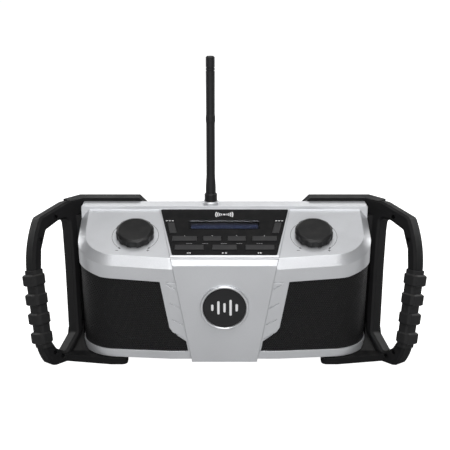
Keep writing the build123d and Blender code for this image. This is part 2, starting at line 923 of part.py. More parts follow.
with BuildPart() as key_board:
    with BuildSketch(shield_plane.offset(-board_depth)):
        board_low_half = panel_half(board_low_v) + post_margin + board_rim
        board_high_half = panel_half(board_high_v) + post_margin + board_rim
        with BuildLine():
            Polyline(
                (-board_low_half, board_low_v),
                (board_low_half, board_low_v),
                (board_high_half, board_high_v),
                (-board_high_half, board_high_v),
                close=True,
            )
        make_face()
        with Locations(*board_posts):
            Circle(board_screw_r + screw_fit, mode=Mode.SUBTRACT)
    extrude(amount=-board_wall)
key_board.part.label = "key_board"
export_step(key_board.part, "parts/key_board.step")

with BuildPart() as key_switches:
    with BuildSketch(shield_plane.offset(-board_depth)):
        with Locations(*key_spots):
            Rectangle(switch_size, switch_size)
    extrude(amount=switch_height)
    with BuildSketch(shield_plane.offset(switch_height - board_depth)):
        with Locations(*key_spots):
            Circle(switch_button_r)
    extrude(amount=switch_button)
key_switches.part.label = "key_switches"
export_step(key_switches.part, "parts/key_switches.step")

# ---------------------------------------------------------------- volume and tuning controls
shaft_low = -wall - shaft_bottom  # lower end of a shaft, from the console's face


def knob_form(x):
    """Notched knob over a control, hollow underneath, with a blind bore for the shaft."""
    with BuildPart() as knob:
        with BuildSketch(console_spot(x, knob_lift)):
            Circle(knob_r)
        extrude(amount=knob_height)
        top = knob.faces().sort_by(shield_axis)[-1]
        chamfer(top.edges(), knob_bevel, knob_bevel_height, reference=top)
        with BuildSketch(console_spot(x, knob_lift)):
            with PolarLocations(knob_r + knob_notch_r - knob_notch_depth, knob_notches):
                Circle(knob_notch_r)
        extrude(amount=knob_height, mode=Mode.SUBTRACT)
        with BuildSketch(console_spot(x, knob_lift)):
            Circle(knob_cavity_r)
        extrude(amount=knob_cavity, mode=Mode.SUBTRACT)
        with BuildSketch(console_spot(x)):
            Circle(shaft_r + shaft_fit)
        extrude(amount=shaft_top + shaft_fit, mode=Mode.SUBTRACT)
    return knob.part


def control_form(x):
    """Body of a control under the console, with its bushing and a bore for the shaft."""
    with BuildPart() as control:
        with BuildSketch(console_spot(x, -wall)):
            Circle(control_body_r)
        extrude(amount=-control_body_height)
        with BuildSketch(console_spot(x, -wall)):
            Circle(bushing_r)
        extrude(amount=wall + bushing_rise)
        with BuildSketch(console_spot(x, bushing_rise)):
            Circle(shaft_r + shaft_fit)
        extrude(amount=shaft_low - plunger_gap - bushing_rise, mode=Mode.SUBTRACT)
    return control.part


def shaft_form(x):
    """Round shaft from inside the control up into the knob."""
    with BuildPart() as shaft:
        with BuildSketch(console_spot(x, shaft_low)):
            Circle(shaft_r)
        extrude(amount=shaft_top - shaft_low)
    return shaft.part


with BuildPart() as volume_knob:
    add(knob_form(-knob_x))
volume_knob.part.label = "volume_knob"
export_step(volume_knob.part, "parts/volume_knob.step")

with BuildPart() as tuning_knob:
    add(knob_form(knob_x))
tuning_knob.part.label = "tuning_knob"
export_step(tuning_knob.part, "parts/tuning_knob.step")

with BuildPart() as volume_shaft:
    add(shaft_form(-knob_x))
volume_shaft.part.label = "volume_shaft"
export_step(volume_shaft.part, "parts/volume_shaft.step")

with BuildPart() as tuning_shaft:
    add(shaft_form(knob_x))
tuning_shaft.part.label = "tuning_shaft"
export_step(tuning_shaft.part, "parts/tuning_shaft.step")

with BuildPart() as volume_pot:
    add(control_form(-knob_x))
volume_pot.part.label = "volume_pot"
export_step(volume_pot.part, "parts/volume_pot.step")

with BuildPart() as tuning_encoder:
    add(control_form(knob_x))
    # chamber in which the plunger is pushed down
    with BuildSketch(console_spot(knob_x, shaft_low)):
        Circle(plunger_r + plunger_gap)
    extrude(amount=-(3 * plunger_gap + plunger_wall + push_travel), mode=Mode.SUBTRACT)
tuning_encoder.part.label = "tuning_encoder"
export_step(tuning_encoder.part, "parts/tuning_encoder.step")

with BuildPart() as encoder_plunger:
    with BuildSketch(console_spot(knob_x, shaft_low - plunger_gap)):
        Circle(plunger_r)
    extrude(amount=-plunger_wall)
encoder_plunger.part.label = "encoder_plunger"
export_step(encoder_plunger.part, "parts/encoder_plunger.step")

with BuildPart() as control_nuts:
    for x in (-knob_x, knob_x):
        with BuildSketch(console_spot(x)):
            RegularPolygon(nut_r, 6)
            Circle(bushing_r + screw_fit, mode=Mode.SUBTRACT)
        extrude(amount=nut_height)
control_nuts.part.label = "control_nuts"
export_step(control_nuts.part, "parts/control_nuts.step")

# ---------------------------------------------------------------- badge
badge_centre = (0, tongue_y - (badge_z - tongue_z) * tan(tongue_angle), badge_z)
badge_plane = Plane(
    origin=badge_centre,
    x_dir=(1, 0, 0),
    z_dir=(0, -cos(tongue_angle), -sin(tongue_angle)),
)

with BuildPart() as badge_ring:
    with BuildSketch(badge_plane):
        Circle(badge_r)
        Circle(badge_r - badge_ring_wall, mode=Mode.SUBTRACT)
    extrude(amount=badge_ring_rise)
    chamfer(badge_ring.faces().sort_by(Axis.Y)[0].edges(), badge_bevel)
badge_ring.part.label = "badge_ring"
export_step(badge_ring.part, "parts/badge_ring.step")

with BuildPart() as badge_disc:
    with BuildSketch(badge_plane):
        Circle(badge_r - badge_ring_wall - badge_fit)
    extrude(amount=badge_disc_rise)
badge_disc.part.label = "badge_disc"
export_step(badge_disc.part, "parts/badge_disc.step")

# ---------------------------------------------------------------- grilles
with BuildPart() as left_grille:
    add(cabinet_form(grille_sink))
    add(cabinet_form(wall), mode=Mode.SUBTRACT)
    add(grille_window(grille_border, parting_gap + flank_rib + grille_gap), mode=Mode.INTERSECT)
    # the sheet between the borders
    add(
        cabinet_form(grille_sink + grille_wall).intersect(left_window),
        mode=Mode.SUBTRACT,
    )
left_grille.part.label = "left_grille"
export_step(left_grille.part, "parts/left_grille.step")

with BuildPart() as right_grille:
    mirror(left_grille.part, about=Plane.YZ)
right_grille.part.label = "right_grille"
export_step(right_grille.part, "parts/right_grille.step")

# ---------------------------------------------------------------- speakers
speaker_seat = (-speaker_x, baffle_y + baffle_wall, speaker_z)
speaker_plane = Plane(origin=speaker_seat, x_dir=(1, 0, 0), z_dir=(0, 1, 0))
speaker_axis_plane = Plane(origin=speaker_seat, x_dir=(1, 0, 0), z_dir=(0, 0, 1))


def baffle_plan(inset):
    """Plan of the baffle tray: open towards the grille, which it follows round the corner."""
    back = baffle_back_y - inset
    with BuildSketch(Plane.XY.offset(baffle_low_z - baffle_wall + inset)) as plan:
        with BuildLine():
            Polyline(
                (-baffle_inner_x - inset, -reach),
                (-baffle_inner_x - inset, baffle_y + baffle_wall - inset),
                (-baffle_leg_x - inset, baffle_y + baffle_wall - inset),
                (-baffle_leg_x - inset, back),
                (-reach, back),
                (-reach, -reach),
                close=True,
            )
        make_face()
    return plan.sketch


with BuildPart() as left_baffle:
    extrude(baffle_plan(0), amount=baffle_high_z - baffle_low_z + 2 * baffle_wall)
    extrude(baffle_plan(baffle_wall), amount=baffle_high_z - baffle_low_z, mode=Mode.SUBTRACT)
    with BuildSketch(speaker_plane):
        Circle(speaker_hole_r)
    extrude(amount=-baffle_wall, mode=Mode.SUBTRACT)
    add(cabinet_form(wall), mode=Mode.INTERSECT)
left_baffle.part.label = "left_baffle"
export_step(left_baffle.part, "parts/left_baffle.step")

with BuildPart() as right_baffle:
    mirror(left_baffle.part, about=Plane.YZ)
right_baffle.part.label = "right_baffle"
export_step(right_baffle.part, "parts/right_baffle.step")

with BuildPart() as left_speaker_basket:
    with BuildSketch(speaker_axis_plane):
        with BuildLine():
            Polyline(
                (basket_inner_r, 0),
                (speaker_r, 0),
                (speaker_r, speaker_flange),
                (basket_inner_r + speaker_flange, speaker_flange),
                (magnet_r - speaker_flange, basket_depth),
                (magnet_r, basket_depth),
                (magnet_r, basket_depth + magnet_height),
                (0, basket_depth + magnet_height),
                (0, basket_depth),
                (magnet_r - 2 * speaker_flange, basket_depth),
                (basket_inner_r, speaker_flange),
                close=True,
            )
        make_face()
    revolve(axis=Axis((-speaker_x, 0, speaker_z), (0, 1, 0)))
left_speaker_basket.part.label = "left_speaker_basket"
export_step(left_speaker_basket.part, "parts/left_speaker_basket.step")

with BuildPart() as right_speaker_basket:
    mirror(left_speaker_basket.part, about=Plane.YZ)
right_speaker_basket.part.label = "right_speaker_basket"
export_step(right_speaker_basket.part, "parts/right_speaker_basket.step")

with BuildPart() as left_speaker_cone:
    with BuildSketch(speaker_axis_plane):
        with BuildLine():
            Polyline(
                (surround_r, 0),
                (surround_r, -cone_wall),
                (basket_inner_r, -2 * cone_wall),
                (basket_inner_r - 2 * cone_wall, -cone_wall),
                (cone_cap_r, cone_depth - cone_wall),
                (cone_cap_r / 2, cone_depth - 3 * cone_wall),
                (0, cone_depth - 4 * cone_wall),
                (0, cone_depth),
                (cone_cap_r, cone_depth),
                (basket_inner_r - 2 * cone_wall, 0),
                close=True,
            )
        make_face()
    revolve(axis=Axis((-speaker_x, 0, speaker_z), (0, 1, 0)))
left_speaker_cone.part.label = "left_speaker_cone"
export_step(left_speaker_cone.part, "parts/left_speaker_cone.step")

with BuildPart() as right_speaker_cone:
    mirror(left_speaker_cone.part, about=Plane.YZ)
right_speaker_cone.part.label = "right_speaker_cone"
export_step(right_speaker_cone.part, "parts/right_speaker_cone.step")

# ---------------------------------------------------------------- antenna
antenna_plane = Plane(origin=(antenna_x, antenna_y, 0), x_dir=(1, 0, 0), z_dir=(0, -1, 0))
antenna_axis = Axis((antenna_x, antenna_y, 0), (0, 0, 1))
collar_top = deck_z + collar_rise
ring_bottom = collar_top + antenna_gap
whip_bottom = ring_bottom + antenna_ring_height
stud_bottom = deck_z - stud_engagement

with BuildPart() as antenna_socket:
    with BuildSketch(antenna_plane):
        with BuildLine():
            Polyline(
                (stud_r + stud_fit, stud_bottom - antenna_gap),
                (antenna_bushing_r, stud_bottom - antenna_gap),
                (antenna_bushing_r, deck_z),
                (collar_r, deck_z),
                (collar_r, collar_top - collar_bevel),
                (collar_r - collar_bevel, collar_top),
                (antenna_ring_r + antenna_gap, collar_top),
                (stud_r + stud_fit, collar_top - collar_dish),
                close=True,
            )
        make_face()
    revolve(axis=antenna_axis)
antenna_socket.part.label = "antenna_socket"
export_step(antenna_socket.part, "parts/antenna_socket.step")

with BuildPart() as antenna_stud:
    with BuildSketch(Plane.XY.offset(stud_bottom)):
        with Locations((antenna_x, antenna_y)):
            Circle(stud_r)
    extrude(amount=stud_length)
antenna_stud.part.label = "antenna_stud"
export_step(antenna_stud.part, "parts/antenna_stud.step")

with BuildPart() as antenna_ring:
    with BuildSketch(Plane.XY.offset(ring_bottom)):
        with Locations((antenna_x, antenna_y)):
            Circle(antenna_ring_r)
            Circle(stud_r, mode=Mode.SUBTRACT)
    extrude(amount=antenna_ring_height)
    chamfer(antenna_ring.faces().sort_by(Axis.Z)[-1].edges().sort_by(SortBy.LENGTH)[-1], collar_bevel)
antenna_ring.part.label = "antenna_ring"
export_step(antenna_ring.part, "parts/antenna_ring.step")

with BuildPart() as antenna_whip:
    with BuildSketch(antenna_plane):
        with BuildLine():
            Polyline(
                (0, whip_bottom),
                (whip_root_r, whip_bottom),
                (whip_root_r, whip_bottom + whip_root_length),
                (whip_r, whip_bottom + 3 * whip_root_length),
                (whip_r, whip_bulge_z - whip_bulge_length),
                (whip_bulge_r, whip_bulge_z - whip_bulge_length / 2),
                (whip_bulge_r, whip_bulge_z + whip_bulge_length / 2),
                (whip_r, whip_bulge_z + whip_bulge_length),
                (whip_r, whip_top_z - whip_tip),
                (whip_r - whip_tip, whip_top_z),
                (0, whip_top_z),
                close=True,
            )
        make_face()
        for groove_z in whip_groove_zs:
            with Locations((whip_r, groove_z)):
                Rectangle(2 * whip_groove_depth, whip_groove_width, mode=Mode.SUBTRACT)
    revolve(axis=antenna_axis)
    add(antenna_stud.part, mode=Mode.SUBTRACT)
antenna_whip.part.label = "antenna_whip"
export_step(antenna_whip.part, "parts/antenna_whip.step")

# ---------------------------------------------------------------- side frames
yaw = radians(handle_yaw)
loop_foot = Vector(-body_half - handle_foot_out, handle_foot_y, 0)
loop_head = Vector(-body_half - handle_head_out, handle_head_y, handle_head_z)
loop_out = Vector(-cos(yaw), -sin(yaw), 0)
loop_plane = Plane(origin=loop_foot, x_dir=loop_out, z_dir=loop_out.cross(loop_head - loop_foot))


def bar_outer(t):
    """Outer edge of the loop's bar at a height in the loop's plane."""
    return bar_low_out + (bar_high_out - bar_low_out) * (t - bar_low_t) / (bar_high_t - bar_low_t)


def bar_inner(t):
    """Inner edge of the loop's bar at a height in the loop's plane."""
    return gap_low_out + (gap_high_out - gap_low_out) * (t - gap_low_t) / (gap_high_t - gap_low_t)


def loop_outline():
    """Handle loop in its own plane, x outward from the cabinet and y up, with its finger gap."""
    head_corner = (-45, 147.4)
    wall_corner = (-13.5, 138.6)
    shoulder = (-12, 136.9)
    bar_top = (bar_high_out, bar_high_t)
    bar_foot = (bar_low_out, bar_low_t)
    toe = (1.5, -1)
    with BuildSketch() as outline:
        with BuildLine():
            Polyline((-66, 131), (-66, 147.4), head_corner, wall_corner, shoulder)
            ThreePointArc(shoulder, (-1.2, 115.8), bar_top)
            Line(bar_top, bar_foot)
            ThreePointArc(bar_foot, (8.4, 12.5), toe)
            Polyline(toe, (-12, -1), (-36, 24), (-54, 131), (-66, 131))
        make_face()
        fillet(outline.vertices().sort_by_distance(head_corner)[0], loop_head_r)
        fillet(outline.vertices().sort_by_distance(wall_corner)[0], loop_wall_r)
    with BuildSketch() as gap:
        with BuildLine():
            Polyline(
                (gap_low_out, gap_low_t),
                (gap_high_out, gap_high_t),
                (-8.5, 109.5),
                (-17, 125.8),
                (-32.5, 131.7),
                (-43.3, 131.2),
                (-42.6, 120),
                (-38, 87),
                (-28, 24),
                (-12, 9.5),
                (-3.6, 15.5),
                close=True,
            )
        make_face()
        fillet([v for v in gap.vertices() if v.Y > 125 or v.Y < 24.5], loop_wall_r)
    with BuildSketch() as loop:
        add(outline.sketch)
        add(gap.sketch, mode=Mode.SUBTRACT)
    return loop.sketch


def sleeve_section(t, proud, shy, corner):
    """Section of the grip sleeve, proud of the loop's bar, less so inside and in front."""
    middle = loop_plane.from_local_coords(Vector(0, t, 0))
    plane = Plane(origin=middle, x_dir=loop_out, z_dir=loop_plane.y_dir)
    inner = bar_inner(t) - proud + shy
    outer = bar_outer(t) + proud
    with BuildSketch(plane) as section:
        with Locations(((inner + outer) / 2, -(loop_width + shy) / 2)):
            Rectangle(outer - inner, loop_width + 2 * proud - shy)
        chamfer(section.vertices().group_by(Axis.Y)[0], grip_back_corner)
        chamfer(section.vertices().group_by(Axis.Y)[-1], corner)
    return section.sketch


loop_axis = Axis((0, 0, 0), loop_plane.z_dir)
cover_edge_plane = Plane(origin=(-cover_edge_x, 0, 0), x_dir=(0, 1, 0), z_dir=(1, 0, 0))
frame_screw_spots = [(-29.4, 135.2), (-8.9, 118.0), (-0.9, 12.5), (-8.2, 6.9)]
foot_middle_x = -foot_tip_x - pad_r - foot_toe_r
foot_pad_spots = [(foot_middle_x, foot_front_y + 9), (foot_middle_x, foot_back_y - 7)]

with BuildPart() as cabinet_clearance:
    add(cabinet_form(-frame_gap))
    split(bisect_by=split_plane.offset(frame_gap), keep=Keep.BOTTOM)

with BuildPart() as left_frame_cover:
    with BuildSketch(loop_plane.offset(loop_width - cover_wall)):
        add(loop_outline())
    extrude(amount=cover_wall)
    chamfer(left_frame_cover.faces().sort_by(loop_axis)[-1].edges(), loop_cover_chamfer)
    split(bisect_by=cover_edge_plane, keep=Keep.BOTTOM)
    split(bisect_by=Plane.XY.offset(pad_rise), keep=Keep.TOP)
    with BuildSketch(loop_plane):
        with Locations(*frame_screw_spots):
            Circle(frame_screw_r + screw_fit)
    extrude(amount=frame_screw_reach + screw_clearance, mode=Mode.SUBTRACT)
left_frame_cover.part.label = "left_frame_cover"
export_step(left_frame_cover.part, "parts/left_frame_cover.step")

with BuildPart() as left_frame:
    # front moulding of the loop
    with BuildSketch(loop_plane):
        add(loop_outline())
    extrude(amount=loop_width - cover_wall)
    chamfer(left_frame.faces().sort_by(loop_axis)[0].edges(), loop_chamfer)
    # cheek beside the cabinet
    with BuildSketch(Plane.YZ.offset(-cheek_outer_x)):
        with BuildLine():
            Polyline(
                (cheek_front_y, foot_top),
                (cheek_front_y, cheek_knee_z),
                (cheek_top_y, strap_z - arm_drop),
                (arm_front_y + arm_depth, strap_z - arm_drop),
                (cheek_back_y, strap_z - 2 * arm_drop),
                (cheek_back_y, foot_top),
                close=True,
            )
        make_face()
    extrude(amount=cheek_outer_x - rear_half)
    # gusset between the loop's foot and the cabinet's corner
    with BuildSketch(Plane.YZ.offset(-gusset_outer_x)):
        with BuildLine():
            Polyline(
                (gusset_front_y, 0),
                (gusset_front_y, gusset_front_z),
                (gusset_knee_y, foot_top),
                (gusset_top_y, gusset_top_z),
                (cheek_front_y, gusset_top_z),
                (cheek_front_y, 0),
                close=True,
            )
        make_face()
    extrude(amount=gusset_outer_x - foot_tip_x - 2 * pad_r)
    # feet under the cabinet and the bar between them
    with BuildSketch(Plane.XY.offset(pad_rise)):
        with BuildLine():
            Polyline(
                (-gusset_outer_x, foot_back_y - foot_taper / 2),
                (-gusset_outer_x, foot_front_y + foot_taper),
                (-foot_tip_x - foot_toe_width, foot_front_y),
                (-foot_tip_x, foot_front_y),
                (-foot_tip_x, foot_front_y + foot_toe_width),
                (-body_half, foot_bar_y),
                (-body_half, foot_bar_back_y),
                (-foot_tip_x, foot_back_y - foot_toe_width),
                (-foot_tip_x, foot_back_y),
                close=True,
            )
        make_face()
        fillet([v for v in vertices() if v.X > -foot_tip_x - 1], foot_toe_r)
    extrude(amount=foot_top - pad_rise)
    split(bisect_by=Plane.XY.offset(pad_rise), keep=Keep.TOP)
    add(rear_form(-frame_gap), mode=Mode.SUBTRACT)
    # arm over the rear of the cabinet, with a ramp at its end
    arm_end = loop_width - cover_wall
    with BuildSketch(Plane.XY.offset(strap_z - arm_drop)):
        with BuildLine():
            Polyline(
                (-arm_inner_x, arm_front_y),
                (-arm_bend_x, arm_front_y),
                (loop_head.X, loop_head.Y),
                (loop_head.X - arm_end * sin(yaw), loop_head.Y + arm_end * cos(yaw)),
                (-arm_corner_x, arm_front_y + arm_depth),
                (-arm_inner_x, arm_front_y + arm_depth),
                close=True,
            )
        make_face()
    extrude(amount=arm_drop)
    with BuildSketch(Plane.XZ.offset(-arm_front_y)):
        with BuildLine():
            Polyline(
                (-arm_inner_x, strap_z),
                (arm_drop - arm_inner_x, strap_z - arm_drop),
                (-arm_inner_x, strap_z - arm_drop),
                close=True,
            )
        make_face()
    extrude(amount=-arm_depth)
    add(cabinet_clearance.part, mode=Mode.SUBTRACT)
    add(left_frame_cover.part, mode=Mode.SUBTRACT)
    # screws of the cover, from the front
    with BuildSketch(loop_plane):
        with Locations(*frame_screw_spots):
            Circle(frame_screw_head_r + screw_clearance)
    extrude(amount=frame_screw_sink + screw_head_height, mode=Mode.SUBTRACT)
    with BuildSketch(loop_plane):
        with Locations(*frame_screw_spots):
            Circle(frame_screw_r + screw_fit)
    extrude(amount=loop_width, mode=Mode.SUBTRACT)
    # screws into the rear housing, from the side
    with BuildSketch(Plane.YZ.offset(-mount_head_x)):
        with Locations(*mount_spots):
            Circle(screw_head_r + screw_clearance)
    extrude(amount=-reach, mode=Mode.SUBTRACT)
    with BuildSketch(Plane.YZ.offset(-mount_head_x)):
        with Locations(*mount_spots):
            Circle(screw_r + screw_fit)
    extrude(amount=screw_length, mode=Mode.SUBTRACT)
    # recesses for the foot pads
    with BuildSketch(Plane.XY):
        with Locations(*foot_pad_spots):
            Circle(pad_r + pad_fit)
    extrude(amount=pad_height, mode=Mode.SUBTRACT)
left_frame.part.label = "left_frame"
export_step(left_frame.part, "parts/left_frame.step")

with BuildPart() as right_frame:
    mirror(left_frame.part, about=Plane.YZ)
right_frame.part.label = "right_frame"
export_step(right_frame.part, "parts/right_frame.step")

with BuildPart() as right_frame_cover:
    mirror(left_frame_cover.part, about=Plane.YZ)
right_frame_cover.part.label = "right_frame_cover"
export_step(right_frame_cover.part, "parts/right_frame_cover.step")

# grip sleeve: four thick ribs on a thin tube round the loop's outer bar
with BuildPart() as left_grip:
    grip_low = grip_first_t - grip_pitch / 2
    grip_high = grip_first_t + (grip_ribs - 0.5) * grip_pitch
    loft([sleeve_section(t, grip_neck, 0, grip_neck_corner) for t in (grip_low, grip_high)])
    for rib in range(grip_ribs):
        middle_t = grip_first_t + rib * grip_pitch
        low_t = middle_t - grip_rib_length / 2
        high_t = middle_t + grip_rib_length / 2
        edge = grip_rib - grip_bevel
        loft(
            [
                sleeve_section(low_t, edge, grip_rib_shy, grip_rib_corner),
                sleeve_section(low_t + grip_bevel, grip_rib, grip_rib_shy, grip_rib_corner),
                sleeve_section(high_t - grip_bevel, grip_rib, grip_rib_shy, grip_rib_corner),
                sleeve_section(high_t, edge, grip_rib_shy, grip_rib_corner),
            ],
            ruled=True,
        )
    add(left_frame.part, mode=Mode.SUBTRACT)
    add(left_frame_cover.part, mode=Mode.SUBTRACT)
left_grip.part.label = "left_grip"
export_step(left_grip.part, "parts/left_grip.step")

with BuildPart() as right_grip:
    mirror(left_grip.part, about=Plane.YZ)
right_grip.part.label = "right_grip"
export_step(right_grip.part, "parts/right_grip.step")

with BuildPart() as frame_screws:
    with BuildSketch(loop_plane.offset(frame_screw_sink)):
        with Locations(*frame_screw_spots):
            Circle(frame_screw_head_r)
    extrude(amount=screw_head_height)
    with BuildSketch(loop_plane.offset(frame_screw_sink)):
        with Locations(*frame_screw_spots):
            Circle(frame_screw_r)
    extrude(amount=frame_screw_reach - frame_screw_sink)
    mirror(about=Plane.YZ)
frame_screws.part.label = "frame_screws"
export_step(frame_screws.part, "parts/frame_screws.step")

with BuildPart() as mounting_screws:
    with BuildSketch(Plane.YZ.offset(-mount_head_x)):
        with Locations(*mount_spots):
            Circle(screw_head_r)
    extrude(amount=-screw_head_height)
    with BuildSketch(Plane.YZ.offset(-mount_head_x)):
        with Locations(*mount_spots):
            Circle(screw_r)
    extrude(amount=screw_length)
    mirror(about=Plane.YZ)
mounting_screws.part.label = "mounting_screws"
export_step(mounting_screws.part, "parts/mounting_screws.step")

with BuildPart() as foot_pads:
    with BuildSketch(Plane.XY):
        with Locations(*foot_pad_spots):
            Circle(pad_r)
    extrude(amount=pad_height)
    mirror(about=Plane.YZ)
foot_pads.part.label = "foot_pads"
export_step(foot_pads.part, "parts/foot_pads.step")

with BuildPart() as housing_screws:
    with BuildSketch(split_face.offset(-well_seat)):
        with Locations(*housing_screw_spots):
            Circle(screw_head_r)
    extrude(amount=-screw_head_height)
    with BuildSketch(split_face.offset(-well_seat)):
        with Locations(*housing_screw_spots):
            Circle(screw_r)
    extrude(amount=screw_length)
housing_screws.part.label = "housing_screws"
export_step(housing_screws.part, "parts/housing_screws.step")

# ---------------------------------------------------------------- battery bay
with BuildPart() as battery_box:
    with BuildSketch(rear_inner_face):
        with Locations((0, bay_mid_z)):
            Rectangle(2 * (bay_half + bay_wall), bay_height + 2 * bay_wall)
    extrude(amount=bay_depth)
    with BuildSketch(rear_inner_face):
        with Locations((0, bay_mid_z)):
            Rectangle(2 * bay_half, bay_height)
    extrude(amount=bay_depth - bay_wall, mode=Mode.SUBTRACT)
    # slot through which the lock's cam reaches behind the housing
    with BuildSketch(rear_inner_face):
        with Locations((lock_x, bay_mid_z)):
            Circle(hypot(cam_reach, cam_width / 2) + cam_gap)
    extrude(amount=cam_wall + 2 * cam_gap, mode=Mode.SUBTRACT)
    # ridge between the two rows of cells
    with BuildSketch(rear_inner_face.offset(bay_depth - bay_wall)):
        with Locations((0, bay_mid_z)):
            Rectangle(2 * bay_half, cell_ridge)
    extrude(amount=-cell_ridge)
    # standoffs of the main board
    with BuildSketch(rear_inner_face.offset(bay_depth)):
        with Locations(*main_board_posts):
            Circle(post_r)
    extrude(amount=main_board_gap)
    with BuildSketch(rear_inner_face.offset(bay_depth + main_board_gap)):
        with Locations(*main_board_posts):
            Circle(board_screw_r + screw_fit)
    extrude(amount=board_wall - screw_clearance - board_screw_length, mode=Mode.SUBTRACT)
battery_box.part.label = "battery_box"
export_step(battery_box.part, "parts/battery_box.step")

main_board_face = rear_inner_face.offset(bay_depth + main_board_gap)
main_board_y = rear_y - wall - bay_depth - main_board_gap - board_wall
with BuildPart() as main_board:
    with BuildSketch(main_board_face):
        with Locations((0, bay_mid_z)):
            Rectangle(2 * main_board_half, main_board_height)
        with Locations(*main_board_posts):
            Circle(board_screw_r + screw_fit, mode=Mode.SUBTRACT)
    extrude(amount=board_wall)
    # tuner can, amplifier and capacitors
    with BuildSketch(main_board_face.offset(board_wall)):
        with Locations((-22, bay_mid_z + 6)):
            Rectangle(26, 20)
        with Locations((24, bay_mid_z - 8)):
            Rectangle(16, 12)
    extrude(amount=chip_height)
    with BuildSketch(main_board_face.offset(board_wall)):
        with GridLocations(14, 0, 3, 1):
            with Locations((10, bay_mid_z + 14)):
                Circle(chip_height)
    extrude(amount=3 * chip_height)
main_board.part.label = "main_board"
export_step(main_board.part, "parts/main_board.step")

with BuildPart() as board_screws:
    for seat, spots in (
        (shield_plane.offset(-board_depth - board_wall), board_posts),
        (Plane.XZ.offset(-main_board_y), main_board_posts),
    ):
        out = -1 if spots is board_posts else 1
        with BuildSketch(seat):
            with Locations(*spots):
                Circle(board_screw_head_r)
        extrude(amount=out * board_screw_head_height)
        with BuildSketch(seat):
            with Locations(*spots):
                Circle(board_screw_r)
        extrude(amount=-out * board_screw_length)
board_screws.part.label = "board_screws"
export_step(board_screws.part, "parts/board_screws.step")

# contacts at the two ends of the bay, one pair for each row of cells
row_z_offset = bay_height / 4
contact_y = rear_y - wall - bay_depth + bay_wall + cell_ridge + contact_half
contact_spots = [(contact_y, bay_mid_z - row_z_offset), (contact_y, bay_mid_z + row_z_offset)]
with BuildPart() as battery_plates:
    for side in (-1, 1):
        with BuildSketch(Plane.YZ.offset(side * bay_half)):
            with Locations(*contact_spots):
                Rectangle(2 * contact_half, 2 * contact_half)
        extrude(amount=-side * contact_wall)
battery_plates.part.label = "battery_plates"
export_step(battery_plates.part, "parts/battery_plates.step")

with BuildPart() as battery_springs:
    with BuildSketch(Plane.YZ.offset(contact_wall - bay_half)):
        with Locations(*contact_spots):
            Circle(spring_r)
            Circle(spring_r - spring_wire, mode=Mode.SUBTRACT)
    extrude(amount=spring_length)
battery_springs.part.label = "battery_springs"
export_step(battery_springs.part, "parts/battery_springs.step")

door_plane = Plane.XY.offset(bay_low_z + door_gap)
with BuildPart() as battery_door:
    with BuildSketch(door_plane):
        with Locations((door_axis_x, door_axis_y)):
            Rectangle(bay_half - door_gap - door_axis_x, wall, align=(Align.MIN, Align.CENTER))
            Circle(wall / 2)
            Circle(hinge_pin_r + hinge_fit, mode=Mode.SUBTRACT)
    extrude(amount=bay_height - 2 * door_gap)
    # seat and bore of the lock
    with BuildSketch(rear_face):
        with Locations((lock_x, bay_mid_z)):
            Circle(lock_r + screw_clearance)
    extrude(amount=lock_head, mode=Mode.SUBTRACT)
    with BuildSketch(rear_face):
        with Locations((lock_x, bay_mid_z)):
            Circle(lock_shaft_r + hinge_fit)
    extrude(amount=wall, mode=Mode.SUBTRACT)
battery_door.part.label = "battery_door"
export_step(battery_door.part, "parts/battery_door.step")

with BuildPart() as door_pin:
    with BuildSketch(Plane.XY.offset(bay_low_z - pin_overhang)):
        with Locations((door_axis_x, door_axis_y)):
            Circle(hinge_pin_r)
    extrude(amount=bay_height + 2 * pin_overhang)
door_pin.part.label = "door_pin"
export_step(door_pin.part, "parts/door_pin.step")

with BuildPart() as door_lock:
    with BuildSketch(rear_face):
        with Locations((lock_x, bay_mid_z)):
            Circle(lock_r)
    extrude(amount=lock_head - cam_gap)
    with BuildSketch(rear_face):
        with Locations((lock_x, bay_mid_z)):
            Rectangle(lock_slot_width, 2 * lock_r - lock_slot_width)
    extrude(amount=lock_slot_depth, mode=Mode.SUBTRACT)
    with BuildSketch(rear_face.offset(lock_slot_depth)):
        with Locations((lock_x, bay_mid_z)):
            Circle(lock_shaft_r)
    extrude(amount=wall + cam_gap + cam_wall - lock_slot_depth)
    with BuildSketch(rear_inner_face.offset(cam_gap)):
        with Locations((lock_x, bay_mid_z)):
            Rectangle(cam_width, cam_reach, align=(Align.CENTER, Align.MAX))
            Circle(cam_width / 2)
    extrude(amount=cam_wall)
door_lock.part.label = "door_lock"
export_step(door_lock.part, "parts/door_lock.step")

# ---------------------------------------------------------------- sockets and their cover
with BuildPart() as dc_socket:
    with BuildSketch(pocket_floor):
        with Locations((pocket_x - jack_spread, pocket_z)):
            Circle(dc_r)
    extrude(amount=jack_depth)
    with BuildSketch(pocket_floor):
        with Locations((pocket_x - jack_spread, pocket_z)):
            Circle(dc_r + jack_flange)
    extrude(amount=-jack_flange)
    with BuildSketch(pocket_floor.offset(-jack_flange)):
        with Locations((pocket_x - jack_spread, pocket_z)):
            Circle(dc_bore_r)
            Circle(dc_pin_r, mode=Mode.SUBTRACT)
    extrude(amount=jack_depth, mode=Mode.SUBTRACT)
dc_socket.part.label = "dc_socket"
export_step(dc_socket.part, "parts/dc_socket.step")

